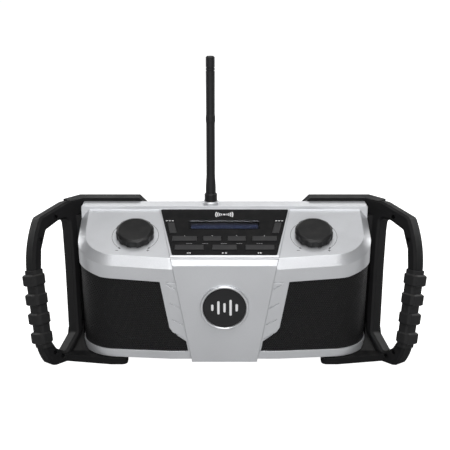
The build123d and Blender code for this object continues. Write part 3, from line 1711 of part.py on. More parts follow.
with BuildPart() as aux_socket:
    with BuildSketch(pocket_floor):
        with Locations((pocket_x + jack_spread, pocket_z)):
            Circle(aux_r)
    extrude(amount=jack_depth)
    with BuildSketch(pocket_floor):
        with Locations((pocket_x + jack_spread, pocket_z)):
            Circle(aux_r + jack_flange)
    extrude(amount=-jack_flange)
    with BuildSketch(pocket_floor.offset(-jack_flange)):
        with Locations((pocket_x + jack_spread, pocket_z)):
            Circle(aux_bore_r)
    extrude(amount=jack_depth, mode=Mode.SUBTRACT)
aux_socket.part.label = "aux_socket"
export_step(aux_socket.part, "parts/aux_socket.step")

flap_half = pocket_half - flap_gap
with BuildPart() as socket_cover:
    with BuildSketch(Plane.XY.offset(pocket_z - flap_half)):
        with Locations((flap_axis_x, flap_axis_y)):
            Rectangle(flap_axis_x - pocket_x + flap_half, flap_wall, align=(Align.MAX, Align.CENTER))
            Circle(flap_wall / 2)
    extrude(amount=2 * flap_half)
    with BuildSketch(Plane.XY.offset(pocket_z - pocket_half - pivot_length)):
        with Locations((flap_axis_x, flap_axis_y)):
            Circle(hinge_pin_r)
    extrude(amount=2 * (pocket_half + pivot_length))
    # finger notch at the free edge
    with BuildSketch(rear_face):
        with Locations((pocket_x - flap_half, pocket_z)):
            Circle(notch_r)
    extrude(amount=flap_wall / 2, mode=Mode.SUBTRACT)
socket_cover.part.label = "socket_cover"
export_step(socket_cover.part, "parts/socket_cover.step")
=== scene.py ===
# %% [markdown]
# A jobsite radio, with its materials, grilles, screws, print and light.
#
# The solid parts come from the CAD model as a fixed frame: every object already sits in its place, in
# metres. This script adds what a solid model leaves out. It gives each part a material made of shader
# nodes, and it makes the small things that repeat, such as the holes of the grilles and the screws, with
# Geometry Nodes.

# %% Load the frame
import json
import math

import bmesh
import bpy
from mathutils import Matrix, Vector


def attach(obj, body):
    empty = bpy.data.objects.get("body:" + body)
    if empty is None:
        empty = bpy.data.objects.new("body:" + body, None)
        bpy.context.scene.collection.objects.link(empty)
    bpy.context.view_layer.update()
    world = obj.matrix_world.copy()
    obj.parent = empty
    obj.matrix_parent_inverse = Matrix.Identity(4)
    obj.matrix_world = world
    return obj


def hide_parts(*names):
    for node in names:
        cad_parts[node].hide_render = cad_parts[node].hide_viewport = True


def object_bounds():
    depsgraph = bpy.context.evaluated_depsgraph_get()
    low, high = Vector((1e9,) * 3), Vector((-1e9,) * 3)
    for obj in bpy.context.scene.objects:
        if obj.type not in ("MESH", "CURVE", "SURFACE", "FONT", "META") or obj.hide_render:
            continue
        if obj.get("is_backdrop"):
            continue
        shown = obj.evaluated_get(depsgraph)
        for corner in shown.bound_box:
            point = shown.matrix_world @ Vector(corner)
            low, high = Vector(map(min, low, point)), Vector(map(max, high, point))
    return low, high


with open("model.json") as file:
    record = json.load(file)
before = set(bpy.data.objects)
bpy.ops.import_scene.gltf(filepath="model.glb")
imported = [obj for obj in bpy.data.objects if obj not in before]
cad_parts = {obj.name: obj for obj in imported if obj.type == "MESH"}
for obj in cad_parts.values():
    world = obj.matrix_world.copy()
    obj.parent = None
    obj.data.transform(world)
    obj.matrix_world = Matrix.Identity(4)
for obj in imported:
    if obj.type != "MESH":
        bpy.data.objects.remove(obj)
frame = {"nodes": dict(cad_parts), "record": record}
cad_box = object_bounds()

MM = 0.001

# %% [markdown]
# The camera stands in front of the radio and a little above it, and looks down by 17 degrees. A long lens
# keeps the upright edges nearly parallel. Its place is worked out from the console and the feet, whose
# sizes are known.

# %% Camera
CAMERA_PLACE = (0.0, -837.8, 379.08)
CAMERA_TILT = 73.0
CAMERA_LENS = 74.56
CAMERA_SHIFT = 0.0011

camera_data = bpy.data.cameras.new("camera")
camera_data.lens = CAMERA_LENS
camera_data.shift_x = CAMERA_SHIFT
camera = bpy.data.objects.new("camera", camera_data)
camera.location = Vector(CAMERA_PLACE) * MM
camera.rotation_euler = (math.radians(CAMERA_TILT), 0, 0)
bpy.context.scene.collection.objects.link(camera)
bpy.context.scene.camera = camera
print("camera at", tuple(round(c, 3) for c in camera.location))

# %% [markdown]
# A node tree is easier to read when each node takes one line. This helper adds a node, sets its options,
# and fills its inputs: a plain value is typed into the socket, and an output socket of another node is
# linked to it.

# %% A helper for node trees
def add_node(tree, kind, inputs=None, **options):
    """A new node; an input is a plain value or the output socket that feeds it."""
    node = tree.nodes.new(kind)
    for name, value in options.items():
        setattr(node, name, value)
    for name, value in (inputs or {}).items():
        if isinstance(value, bpy.types.NodeSocket):
            tree.links.new(value, node.inputs[name])
        else:
            node.inputs[name].default_value = value
    return node


def calculate(tree, operation, *values):
    """The result of a Math node."""
    return add_node(tree, "ShaderNodeMath", dict(enumerate(values)), operation=operation).outputs[0]


def vectors(tree, operation, *values):
    """The result of a Vector Math node; None leaves an input as it is."""
    given = {index: value for index, value in enumerate(values) if value is not None}
    node = add_node(tree, "ShaderNodeVectorMath", given, operation=operation)
    return node.outputs["Value" if operation in ("DOT_PRODUCT", "LENGTH") else "Vector"]


def along(tree, vector, axis):
    """One axis of a vector."""
    return add_node(tree, "ShaderNodeSeparateXYZ", {0: vector}).outputs[axis]


def spread(tree, value, low, high, from_low=0.0, from_high=1.0):
    """A value moved from one range to another, and held inside it."""
    ends = {"Value": value, "From Min": from_low, "From Max": from_high, "To Min": low, "To Max": high}
    return add_node(tree, "ShaderNodeMapRange", ends).outputs["Result"]


def mix_colours(tree, share, first, second):
    """The first colour, with a share of the second."""
    colours = {0: share, 6: first, 7: second}
    return add_node(tree, "ShaderNodeMix", colours, data_type="RGBA").outputs[2]


def object_place(tree):
    """Where a point lies on its own object, which all patterns here start from."""
    return add_node(tree, "ShaderNodeTexCoord").outputs["Object"]


def pattern(tree, kind, size, **inputs):
    """A texture whose features are about a given size, in millimetres."""
    inputs = {"Vector": object_place(tree), "Scale": calculate(tree, "DIVIDE", 1 / MM, size), **inputs}
    return add_node(tree, "ShaderNodeTex" + kind, inputs).outputs


print("node helpers ready")

# %% [markdown]
# The radio stands on a white studio table. The world is white too, but the lights do the real work. What
# the camera sees of table and world is brighter than what the radio reflects: the Light Path node tells the
# two apart, so the black plastics stay black under a white background.

# %% Table and world
TABLE_HALF = 12.0
TABLE_DARK = (0.5, 0.5, 0.5, 1)
TABLE_PALE = (0.54, 0.54, 0.54, 1)
FIBRE_RATE = 180.0
TABLE_GLOW = 1.0
WORLD_LIGHT = 0.06
WORLD_SEEN = 1.05
WHITE = (1, 1, 1, 1)

table_mesh = bpy.data.meshes.new("table")
corners = [(x * TABLE_HALF, y * TABLE_HALF, 0) for x, y in ((-1, -1), (1, -1), (1, 1), (-1, 1))]
table_mesh.from_pydata(corners, [], [(0, 1, 2, 3)])
table = bpy.data.objects.new("table", table_mesh)
bpy.context.scene.collection.objects.link(table)
table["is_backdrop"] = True

table_paper = bpy.data.materials.new("table_paper")
table_paper.use_nodes = True
tree = table_paper.node_tree
tree.nodes.clear()
fibres = add_node(tree, "ShaderNodeTexNoise", {"Scale": FIBRE_RATE, "Detail": 4.0}).outputs["Fac"]
grey = mix_colours(tree, fibres, TABLE_DARK, TABLE_PALE)
paper = add_node(tree, "ShaderNodeBsdfDiffuse", {"Color": grey}).outputs[0]
glow = add_node(tree, "ShaderNodeEmission", {"Color": WHITE, "Strength": TABLE_GLOW}).outputs[0]
seen = add_node(tree, "ShaderNodeAddShader", {0: paper, 1: glow}).outputs[0]
camera_ray = add_node(tree, "ShaderNodeLightPath").outputs["Is Camera Ray"]
table_end = add_node(tree, "ShaderNodeMixShader", {0: camera_ray, 1: paper, 2: seen}).outputs[0]
add_node(tree, "ShaderNodeOutputMaterial", {"Surface": table_end})
table_mesh.materials.append(table_paper)

world = bpy.data.worlds.new("studio")
bpy.context.scene.world = world
world.use_nodes = True
tree = world.node_tree
tree.nodes.clear()
camera_ray = add_node(tree, "ShaderNodeLightPath").outputs["Is Camera Ray"]
level = spread(tree, camera_ray, WORLD_LIGHT, WORLD_SEEN)
sky = add_node(tree, "ShaderNodeBackground", {"Color": WHITE, "Strength": level}).outputs[0]
add_node(tree, "ShaderNodeOutputWorld", {"Surface": sky})
bpy.context.scene.view_settings.view_transform = "Standard"
print("table and world ready")

# %% [markdown]
# Soft lights stand round the radio. Each is given by where it stands as seen from above, how high it
# stands, its size and its power. The low one in front draws the bright chamfer, the high ones fill the sloped
# console, the one behind lies along the deck and the lip, and a narrow one behind each side catches the edges
# of the handles and the flanks.

# %% Soft lights
MIDDLE = Vector((0, 0, 0.08))
# bearing, elevation, distance, width, height and power; bearing 0 is in front, and 90 is on the right
LIGHTS = {
    "front_low_light": (0, 12, 1.6, 1.2, 0.5, 11.5),
    "front_high_light": (10, 62, 1.6, 1.2, 0.6, 12.5),
    "top_light": (0, 88, 1.5, 1.2, 1.0, 8.0),
    "back_light": (180, 24, 1.6, 2.0, 0.5, 6.2),
    "left_light": (-126, 10, 1.4, 0.5, 0.9, 7.0),
    "right_light": (126, 10, 1.4, 0.5, 0.9, 7.0),
}


def soft_light(name, bearing, elevation, distance, width, height, power):
    """A rectangular light that faces the radio."""
    turn, climb = math.radians(bearing), math.radians(elevation)
    flat = math.cos(climb)
    away = Vector((math.sin(turn) * flat, -math.cos(turn) * flat, math.sin(climb)))
    data = bpy.data.lights.new(name, "AREA")
    data.shape = "RECTANGLE"
    data.size, data.size_y, data.energy = width, height, power
    light = bpy.data.objects.new(name, data)
    light.location = MIDDLE + away * distance
    light.rotation_euler = away.to_track_quat("Z", "Y").to_euler()
    bpy.context.scene.collection.objects.link(light)


for name, numbers in LIGHTS.items():
    soft_light(name, *numbers)
print(f"{len(LIGHTS)} lights ready")

# %% [markdown]
# Moulded plastic is never quite smooth. The tool it comes from was etched, which leaves a fine grain, and
# the colour and gloss drift a little over a large wall. Both effects turn up in most materials here, so
# they are made once, as a shader node group with its sizes as inputs in millimetres.

# %% Shader group: moulded grain
NUMBER, ARROW = "NodeSocketFloat", "NodeSocketVector"


def new_group(name, inputs, outputs):
    """An empty shader group, with its input and output nodes."""
    group = bpy.data.node_groups.new(name, "ShaderNodeTree")
    for label, kind, value in inputs:
        socket = group.interface.new_socket(label, in_out="INPUT", socket_type=kind)
        if value is not None:
            socket.default_value = value
    for label, kind in outputs:
        group.interface.new_socket(label, in_out="OUTPUT", socket_type=kind)
    return group, group.nodes.new("NodeGroupInput").outputs, group.nodes.new("NodeGroupOutput")


def close_group(group, result, **outputs):
    """Links what a group gives."""
    for name, value in outputs.items():
        group.links.new(value, result.inputs[name])
    print("group", group.name)


moulded_grain, given, result = new_group(
    "moulded_grain",
    [("Grain Size", NUMBER, 0.5), ("Mottle Size", NUMBER, 20.0)],
    [("Height", NUMBER), ("Mottle", NUMBER)],
)
soft = pattern(moulded_grain, "Noise", given["Grain Size"], Detail=2.0)["Fac"]
pits = pattern(moulded_grain, "Voronoi", given["Grain Size"])["Distance"]
cloud = pattern(moulded_grain, "Noise", given["Mottle Size"], Detail=3.0)["Fac"]
close_group(moulded_grain, result, Height=calculate(moulded_grain, "ADD", soft, pits), Mottle=cloud)

# %% [markdown]
# No moulded or cast edge is perfectly sharp. The Bevel node bends the shading normal near an edge, which
# draws the thin highlight of a rounded one. Where the bent normal differs from the real one there is an
# edge; broken up with noise, this mask is what the materials use to paint a lighter highlight along the
# edges, in rubbed-looking patches.

# %% Shader group: soft edges
EDGE_SAMPLES = 4
soft_edges, given, result = new_group(
    "soft_edges",
    [("Radius", NUMBER, 0.5), ("Wear Size", NUMBER, 6.0)],
    [("Normal", ARROW), ("Edge", NUMBER)],
)
radius = calculate(soft_edges, "MULTIPLY", given["Radius"], MM)
bevel = add_node(soft_edges, "ShaderNodeBevel", {"Radius": radius}, samples=EDGE_SAMPLES).outputs[0]
real = add_node(soft_edges, "ShaderNodeNewGeometry").outputs["Normal"]
bent = spread(soft_edges, vectors(soft_edges, "DOT_PRODUCT", bevel, real), 1.0, 0.0, 0.72, 0.995)
# The noise patches break up the Edge mask, with which the materials paint a lighter highlight along the
# edges.
patches = pattern(soft_edges, "Noise", given["Wear Size"], Detail=4.0)["Fac"]
patchy_highlight = spread(soft_edges, patches, 0.25, 1.0, 0.38, 0.62)
close_group(soft_edges, result, Normal=bevel, Edge=calculate(soft_edges, "MULTIPLY", bent, patchy_highlight))

# %% [markdown]
# Dust settles on what faces up, in loose patches. The mask is the upward part of the normal times a broken
# noise.

# %% Shader group: settled dust
settled_dust, given, result = new_group(
    "settled_dust", [("Amount", NUMBER, 0.1), ("Patch Size", NUMBER, 9.0)], [("Mask", NUMBER)]
)
facing = add_node(settled_dust, "ShaderNodeNewGeometry").outputs["Normal"]
lying = spread(settled_dust, along(settled_dust, facing, "Z"), 0.0, 1.0, 0.15, 0.95)
specks = pattern(settled_dust, "Noise", given["Patch Size"], Detail=9.0)["Fac"]
loose = spread(settled_dust, specks, 0.0, 1.0, 0.42, 0.78)
dust = calculate(settled_dust, "MULTIPLY", lying, loose)
close_group(settled_dust, result, Mask=calculate(settled_dust, "MULTIPLY", dust, given["Amount"]))

# %% [markdown]
# Metallic paint holds small aluminium flakes that lie at slightly different angles. A Voronoi texture gives
# each flake its own random colour, and read as a direction this tilts the normal a little from flake to
# flake.

# %% Shader group: metal flake
metal_flake, given, result = new_group(
    "metal_flake",
    [("Flake Size", NUMBER, 0.25), ("Tilt", NUMBER, 0.05), ("Normal", ARROW, None)],
    [("Normal", ARROW), ("Shade", NUMBER)],
)
flakes = pattern(metal_flake, "Voronoi", given["Flake Size"])["Color"]
lean = vectors(metal_flake, "SUBTRACT", flakes, (0.5, 0.5, 0.5))
tilted = vectors(metal_flake, "MULTIPLY_ADD", lean, given["Tilt"], given["Normal"])
length_one = vectors(metal_flake, "NORMALIZE", tilted)
close_group(metal_flake, result, Normal=length_one, Shade=along(metal_flake, flakes, "X"))

# %% [markdown]
# A turned or brushed metal face shows fine lines that all run one way. Noise stretched along an axis looks
# like that. The input gives how much the pattern is stretched along X, Y and Z.

# %% Shader group: brushed lines
brushed_lines, given, result = new_group(
    "brushed_lines", [("Stretch", ARROW, (200.0, 4000.0, 4000.0))], [("Lines", NUMBER)]
)
stretched = vectors(brushed_lines, "MULTIPLY", object_place(brushed_lines), given["Stretch"])
lines = add_node(brushed_lines, "ShaderNodeTexNoise", {"Vector": stretched, "Scale": 1.0, "Detail": 3.0})
close_group(brushed_lines, result, Lines=lines.outputs["Fac"])

# %% [markdown]
# Every material starts from one Principled shader. Numbers that hold for the whole surface go straight onto
# its sockets, and only what changes over the surface comes from nodes.

# %% Start of a material
def new_material(name, **plain):
    """A material with one Principled shader, and plain numbers on its sockets."""
    material = bpy.data.materials.new(name)
    material.use_nodes = True
    tree = material.node_tree
    shader = tree.nodes["Principled BSDF"]
    for socket, value in plain.items():
        shader.inputs[socket.replace("_", " ")].default_value = value
    return material, tree, shader


def use_group(tree, group, **values):
    """A node group placed in a material, and its outputs."""
    node = tree.nodes.new("ShaderNodeGroup")
    node.node_tree = group
    for name, value in values.items():
        socket = node.inputs[name.replace("_", " ")]
        if isinstance(value, bpy.types.NodeSocket):
            tree.links.new(value, socket)
        else:
            socket.default_value = value
    return node.outputs


def cover(tree, shader, colour, gloss, height=None, depth=0.0, normal=None, strength=1.0):
    """Links what changes over a surface to its shader. The height's depth is in millimetres."""
    tree.links.new(colour, shader.inputs["Base Color"])
    tree.links.new(gloss, shader.inputs["Roughness"])
    if height:
        bump = {"Strength": strength, "Distance": depth * MM, "Height": height}
        if normal:
            bump["Normal"] = normal
        tree.links.new(add_node(tree, "ShaderNodeBump", bump).outputs[0], shader.inputs["Normal"])


def shaded(colour, factor):
    """A colour made lighter or darker."""
    return tuple(min(1.0, c * factor) for c in colour) + (1.0,)


print("material helpers ready")

# %% [markdown]
# Most of the radio is one kind of material with different numbers: a moulded skin with grain, a slow drift
# of colour and gloss, a painted highlight that makes the edges lighter in rubbed-looking patches, and a trace
# of dust. One function builds them all, from the hard plastic of the frames to the soft rubber of the grips.

# %% Moulded plastics and rubbers
DUST = (0.33, 0.31, 0.28, 1)


def moulded(
    name, colour, rough, grain, depth, drift=0.15, edge=0.3, edge_highlight=2.0, round_off=0.5, dust=0.1, spec=0.5
):
    """A moulded skin. Grain, depth and round_off are in millimetres; edge and the factor after it set the
    share and the lightness of the painted edge highlight, in rubbed-looking patches.
    """
    material, tree, shader = new_material(name, Specular_IOR_Level=spec)
    skin = use_group(tree, moulded_grain, Grain_Size=grain, Mottle_Size=24.0)
    edges = use_group(tree, soft_edges, Radius=round_off, Wear_Size=7.0)
    dirt = use_group(tree, settled_dust, Amount=dust, Patch_Size=8.0)
    clean = mix_colours(tree, skin["Mottle"], shaded(colour, 1 - drift), shaded(colour, 1 + drift))
    # The edges are painted lighter here: a painted highlight, broken into rubbed-looking patches.
    share = calculate(tree, "MULTIPLY", edges["Edge"], edge)
    edge_highlit = mix_colours(tree, share, clean, shaded(colour, edge_highlight))
    dusty = mix_colours(tree, dirt["Mask"], edge_highlit, DUST)
    gloss = spread(tree, skin["Mottle"], rough - 0.06, rough + 0.06, 0.3, 0.7)
    cover(tree, shader, dusty, gloss, skin["Height"], depth, edges["Normal"])
    return material


black_shell = moulded("black_shell", (0.013, 0.013, 0.014), 0.5, 0.55, 0.012, spec=0.25)
frame_black = moulded(
    "frame_black", (0.0075, 0.0075, 0.008), 0.56, 0.7, 0.018,
    edge=0.5, edge_highlight=3.4, round_off=0.8, dust=0.04, spec=0.12,
)
panel_black = moulded(
    "panel_black", (0.006, 0.006, 0.0065), 0.42, 0.35, 0.004,
    drift=0.08, edge=0.2, round_off=0.25, dust=0.02, spec=0.14,
)
key_black = moulded(
    "key_black", (0.03, 0.03, 0.031), 0.5, 0.3, 0.004,
    drift=0.08, edge=0.5, edge_highlight=2.4, round_off=0.35, dust=0.03, spec=0.25,
)
knob_black = moulded(
    "knob_black", (0.005, 0.005, 0.0053), 0.4, 0.4, 0.006,
    edge=0.6, edge_highlight=5.0, round_off=0.7, dust=0.03, spec=0.36,
)
whip_rubber = moulded("whip_rubber", (0.012, 0.012, 0.013), 0.6, 0.45, 0.01, round_off=0.4, spec=0.3)
grip_rubber = moulded(
    "grip_rubber", (0.0095, 0.0095, 0.01), 0.66, 0.6, 0.03,
    drift=0.25, edge=0.45, edge_highlight=2.6, round_off=0.8, spec=0.25,
)
pad_rubber = moulded("pad_rubber", (0.02, 0.02, 0.02), 0.8, 0.8, 0.04, dust=0.2, spec=0.2)
grille_black = moulded(
    "grille_black", (0.009, 0.009, 0.0095), 0.36, 0.3, 0.004,
    drift=0.1, edge=0.0, round_off=0.1, dust=0.02, spec=0.22,
)
baffle_black = moulded("baffle_black", (0.003, 0.003, 0.0032), 0.7, 0.6, 0.01, dust=0.02, spec=0.08)
cone_paper = moulded("cone_paper", (0.008, 0.008, 0.0085), 0.9, 1.6, 0.12, drift=0.3, dust=0.15)
print("moulded materials ready")

# %% [markdown]
# The front is silver: grey plastic under a satin metallic paint. Paint is part metal and part pigment, so
# the metallic value lies between 0 and 1. The flakes tilt the normal, a fine orange-peel bump follows from
# spraying, and the edges are painted a little brighter, a painted highlight in rubbed-looking patches.

# %% Silver paint
SILVER = (0.6, 0.61, 0.63)

silver, tree, shader = new_material(
    "silver", Metallic=0.6, Coat_Weight=0.12, Coat_Roughness=0.3, Specular_IOR_Level=0.4
)
skin = use_group(tree, moulded_grain, Grain_Size=0.9, Mottle_Size=45.0)
edges = use_group(tree, soft_edges, Radius=0.7, Wear_Size=5.0)
flake = use_group(tree, metal_flake, Flake_Size=0.3, Tilt=0.1, Normal=edges["Normal"])
dirt = use_group(tree, settled_dust, Amount=0.05, Patch_Size=10.0)
clean = mix_colours(tree, skin["Mottle"], shaded(SILVER, 0.97), shaded(SILVER, 1.03))
speckled = mix_colours(tree, calculate(tree, "MULTIPLY", flake["Shade"], 0.25), clean, shaded(SILVER, 1.18))
# The edges are painted lighter here: a painted highlight, broken into rubbed-looking patches.
patchy_highlight = mix_colours(tree, calculate(tree, "MULTIPLY", edges["Edge"], 0.3), speckled, shaded(SILVER, 1.3))
dusty = mix_colours(tree, dirt["Mask"], patchy_highlight, DUST)
gloss = spread(tree, skin["Mottle"], 0.35, 0.45, 0.3, 0.7)
cover(tree, shader, dusty, gloss, skin["Height"], 0.004, flake["Normal"])
print("silver paint ready")

# %% [markdown]
# Bare metal parts are the badge ring, the screws, shafts, nuts and contacts. They are fully metallic, and
# what tells them apart is colour, gloss and the direction of the fine lines left by turning or rolling.

# %% Metals
def metal(name, colour, rough, stretch=(300.0, 4000.0, 4000.0), round_off=0.25, tarnish=0.75):
    """A bare metal with fine lines and a slightly darker film in patches."""
    material, tree, shader = new_material(name, Metallic=1.0)
    lines = use_group(tree, brushed_lines, Stretch=stretch)
    skin = use_group(tree, moulded_grain, Grain_Size=0.4, Mottle_Size=6.0)
    edges = use_group(tree, soft_edges, Radius=round_off, Wear_Size=3.0)
    film = mix_colours(tree, skin["Mottle"], shaded(colour, tarnish), shaded(colour, 1.05))
    # The edges are painted lighter here: a painted highlight on the metal's edges.
    bright = mix_colours(tree, edges["Edge"], film, shaded(colour, 1.3))
    gloss = spread(tree, lines["Lines"], rough - 0.08, rough + 0.1, 0.3, 0.7)
    cover(tree, shader, bright, gloss, lines["Lines"], 0.003, edges["Normal"])
    return material


ring_metal = metal("ring_metal", (0.8, 0.81, 0.83), 0.42, stretch=(900.0, 4000.0, 900.0), round_off=0.5)
steel = metal("steel", (0.5, 0.5, 0.51), 0.34)
dark_steel = metal("dark_steel", (0.035, 0.035, 0.038), 0.42, tarnish=0.6)
brass = metal("brass", (0.7, 0.5, 0.2), 0.3, stretch=(4000.0, 4000.0, 300.0))
contact_tin = metal("contact_tin", (0.62, 0.6, 0.56), 0.38)
magnet_iron = metal("magnet_iron", (0.12, 0.12, 0.13), 0.5, tarnish=0.6)
print("metals ready")

# %% [markdown]
# The badge is a satin dark disc inside the bright ring. A turned face has rings round its own centre, and
# the height of each ring depends only on the distance from there. A Mapping node puts the centre of the
# pattern on the disc.

# %% Badge face
BADGE_CENTRE = Vector((0, -54.4, 62.0))

badge_dark, tree, shader = new_material("badge_dark", Specular_IOR_Level=0.3)
centring = {"Vector": object_place(tree), "Location": -BADGE_CENTRE * MM}
distance = vectors(tree, "LENGTH", add_node(tree, "ShaderNodeMapping", centring).outputs[0])
ring_noise = {"W": distance, "Scale": 2500.0}
rings = add_node(tree, "ShaderNodeTexNoise", ring_noise, noise_dimensions="1D").outputs["Fac"]
skin = use_group(tree, moulded_grain, Grain_Size=0.5, Mottle_Size=12.0)
edges = use_group(tree, soft_edges, Radius=0.3, Wear_Size=4.0)
dark = mix_colours(tree, skin["Mottle"], (0.008, 0.008, 0.009, 1), (0.012, 0.012, 0.013, 1))
turned = mix_colours(tree, rings, dark, (0.018, 0.018, 0.019, 1))
cover(tree, shader, turned, spread(tree, rings, 0.3, 0.46, 0.3, 0.7), rings, 0.004, edges["Normal"])
print("badge face ready")

# %% [markdown]
# The display is a clear window over a liquid crystal module that is switched off: dark, slightly blue, with
# a faint grid of dots. The window is real glass to the renderer, so it reflects the room and lets the
# module show through.

# %% Display window and module
DOT_RATE = 1700.0
DOTS = {
    "Color1": (0.045, 0.059, 0.112, 1), "Color2": (0.041, 0.054, 0.104, 1),
    "Mortar": (0.033, 0.043, 0.082, 1), "Mortar Size": 0.06,
    "Scale": DOT_RATE, "Brick Width": 1.0, "Row Height": 1.0,
}
TOP_STRIP = (0.024, 0.025, 0.034, 1)
STRIP_EDGE_Y = (-12.6 * MM, -10.6 * MM)  # the module's top strip starts between these depths

window_glass, tree, shader = new_material("window_glass", Transmission_Weight=1.0, IOR=1.45)
skin = use_group(tree, moulded_grain, Grain_Size=0.8, Mottle_Size=14.0)
tint = mix_colours(tree, skin["Mottle"], (0.8, 0.82, 0.9, 1), (0.86, 0.88, 0.95, 1))
gloss = spread(tree, skin["Mottle"], 0.03, 0.08)
cover(tree, shader, tint, gloss, skin["Height"], 0.0005, strength=0.1)

display_blue, tree, shader = new_material("display_blue", Specular_IOR_Level=0.3)
place = object_place(tree)
dots = add_node(tree, "ShaderNodeTexBrick", {"Vector": place, **DOTS}, offset=0.0).outputs
upper = spread(tree, along(tree, place, "Y"), 0.0, 1.0, *STRIP_EDGE_Y)
band = mix_colours(tree, upper, dots["Color"], TOP_STRIP)
cover(tree, shader, band, spread(tree, dots["Fac"], 0.35, 0.45))
print("display ready")

# %% [markdown]
# Circuit boards are green because of their solder mask, which is glossy and shows the copper under it a
# little lighter. A brick pattern with uneven rows stands in for tracks.

# %% Circuit board
TRACKS = {
    "Color1": (0.02, 0.15, 0.06, 1), "Color2": (0.025, 0.2, 0.08, 1), "Mortar": (0.05, 0.3, 0.12, 1),
    "Scale": 140.0, "Mortar Size": 0.05,
}

board_green, tree, shader = new_material("board_green", Specular_IOR_Level=0.5)
tracks = add_node(tree, "ShaderNodeTexBrick", {"Vector": object_place(tree), **TRACKS}).outputs
skin = use_group(tree, moulded_grain, Grain_Size=1.0, Mottle_Size=8.0)
mask = mix_colours(tree, skin["Mottle"], tracks["Color"], (0.02, 0.13, 0.05, 1))
cover(tree, shader, mask, spread(tree, skin["Mottle"], 0.25, 0.4), tracks["Fac"], 0.03, strength=0.6)
print("circuit board ready")

# %% [markdown]
# The record names a material slot for each part. Most slots have one finish here, and a few parts get their
# own.

# %% Dress the solid parts
FINISHES = {
    "silver_plastic": silver,
    "black_plastic": black_shell,
    "panel_black": panel_black,
    "key_black": key_black,
    "knob_black": knob_black,
    "grille_black": grille_black,
    "rubber_black": pad_rubber,
    "grip_rubber": grip_rubber,
    "display_lens": window_glass,
    "display": display_blue,
    "circuit_board": board_green,
    "switch_metal": contact_tin,
    "steel": steel,
    "dark_steel": dark_steel,
    "brass": brass,
    "badge_metal": ring_metal,
    "badge_black": badge_dark,
    "cone_paper": cone_paper,
    "magnet": magnet_iron,
}
OWN_FINISHES = {
    "left_frame": frame_black,
    "right_frame": frame_black,
    "left_frame_cover": frame_black,
    "right_frame_cover": frame_black,
    "antenna_whip": whip_rubber,
    "socket_cover": whip_rubber,
    "battery_plates": contact_tin,
    "left_baffle": baffle_black,
    "right_baffle": baffle_black,
}
slots = {part["node"]: part["material_slot"] for part in frame["record"]["subparts"]}
for name, part in frame["nodes"].items():
    part.material_slots[0].material = OWN_FINISHES.get(name, FINISHES[slots[name]])
print(f"{len(slots)} parts dressed in {len(set(slots.values()))} slots")

# %% [markdown]
# A Geometry Nodes tree works like a small machine: geometry goes in, sizes are set on named inputs, and new
# geometry comes out. The helpers below make an empty tree with such inputs, and run one on a mesh. The
# modifier's inputs are set by the socket's identifier before Blender first evaluates the object, and the
# result is copied into a plain mesh, so that nothing live is left on the piece.

# %% Helpers for Geometry Nodes
ROOM = bpy.context.scene.collection


class Machine:
    """A geometry tree with named inputs, and short calls that add a node and give its first output."""

    def __init__(self, name, inputs):
        self.tree = bpy.data.node_groups.new(name, "GeometryNodeTree")
        sockets = self.tree.interface
        sockets.new_socket("Geometry", in_out="INPUT", socket_type="NodeSocketGeometry")
        for label, kind, value in inputs:
            socket = sockets.new_socket(label, in_out="INPUT", socket_type=kind)
            if value is not None:
                socket.default_value = value
        sockets.new_socket("Geometry", in_out="OUTPUT", socket_type="NodeSocketGeometry")
        self.given = self.tree.nodes.new("NodeGroupInput").outputs
        self.output = self.tree.nodes.new("NodeGroupOutput")

    def node(self, kind, inputs=None, **options):
        return add_node(self.tree, "GeometryNode" + kind, inputs, **options)

    def make(self, kind, inputs=None, **options):
        return self.node(kind, inputs, **options).outputs[0]

    def math(self, operation, *values):
        return calculate(self.tree, operation, *values)

    def vector(self, operation, *values):
        return vectors(self.tree, operation, *values)

    def axis(self, vector, axis):
        return along(self.tree, vector, axis)

    def arrow(self, **axes):
        return add_node(self.tree, "ShaderNodeCombineXYZ", axes).outputs[0]

    def named(self, name, kind):
        return self.node("InputNamedAttribute", {"Name": name}, data_type=kind).outputs["Attribute"]

    def position(self):
        return self.make("InputPosition")

    def join(self, *pieces):
        joined = self.node("JoinGeometry")
        for piece in pieces:
            self.tree.links.new(piece, joined.inputs[0])
        return joined.outputs[0]

    def close(self, geometry, material):
        """Ends the tree: real geometry instead of instances, with its material."""
        real = self.make("RealizeInstances", {0: geometry})
        dressed = self.make("SetMaterial", {"Geometry": real, "Material": material})
        self.tree.links.new(dressed, self.output.inputs[0])
        return self.tree


def run_machine(name, tree, mesh, **values):
    """A new piece: the tree's result on a mesh, as a plain mesh."""
    piece = bpy.data.objects.new(name, mesh)
    ROOM.objects.link(piece)
    machine = piece.modifiers.new(tree.name, "NODES")
    machine.node_group = tree
    for item in tree.interface.items_tree:
        if item.in_out == "INPUT" and item.name in values:
            machine[item.identifier] = values[item.name]
    finished = piece.evaluated_get(bpy.context.evaluated_depsgraph_get())
    plain = bpy.data.meshes.new_from_object(finished)
    piece.modifiers.remove(machine)
    piece.data = plain
    plain.name = name
    print(f"{name}: {len(plain.polygons)} faces")
    return piece


def fit_piece(piece, slot, *nodes):
    """Hands a finished piece of the cabinet to the frame."""
    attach(piece, "cabinet")
    if nodes:
        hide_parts(*nodes)


print("geometry helpers ready")

# %% [markdown]
# The speaker grilles are thin steel sheets, punched with round holes in a staggered pattern and then bent
# round the front corners. The script does the same. It lays out a flat window in a plane, where X is the
# distance along the bend and Y the height, fills it with small six-sided cells that each have a hole, gives
# the sheet its thickness, and bends it along a path. Real holes let the speaker's dark shape show through,
# which a painted pattern can't. The sheet also leans forward with the front wall, a little more towards the
# side, where the ridge above it climbs.

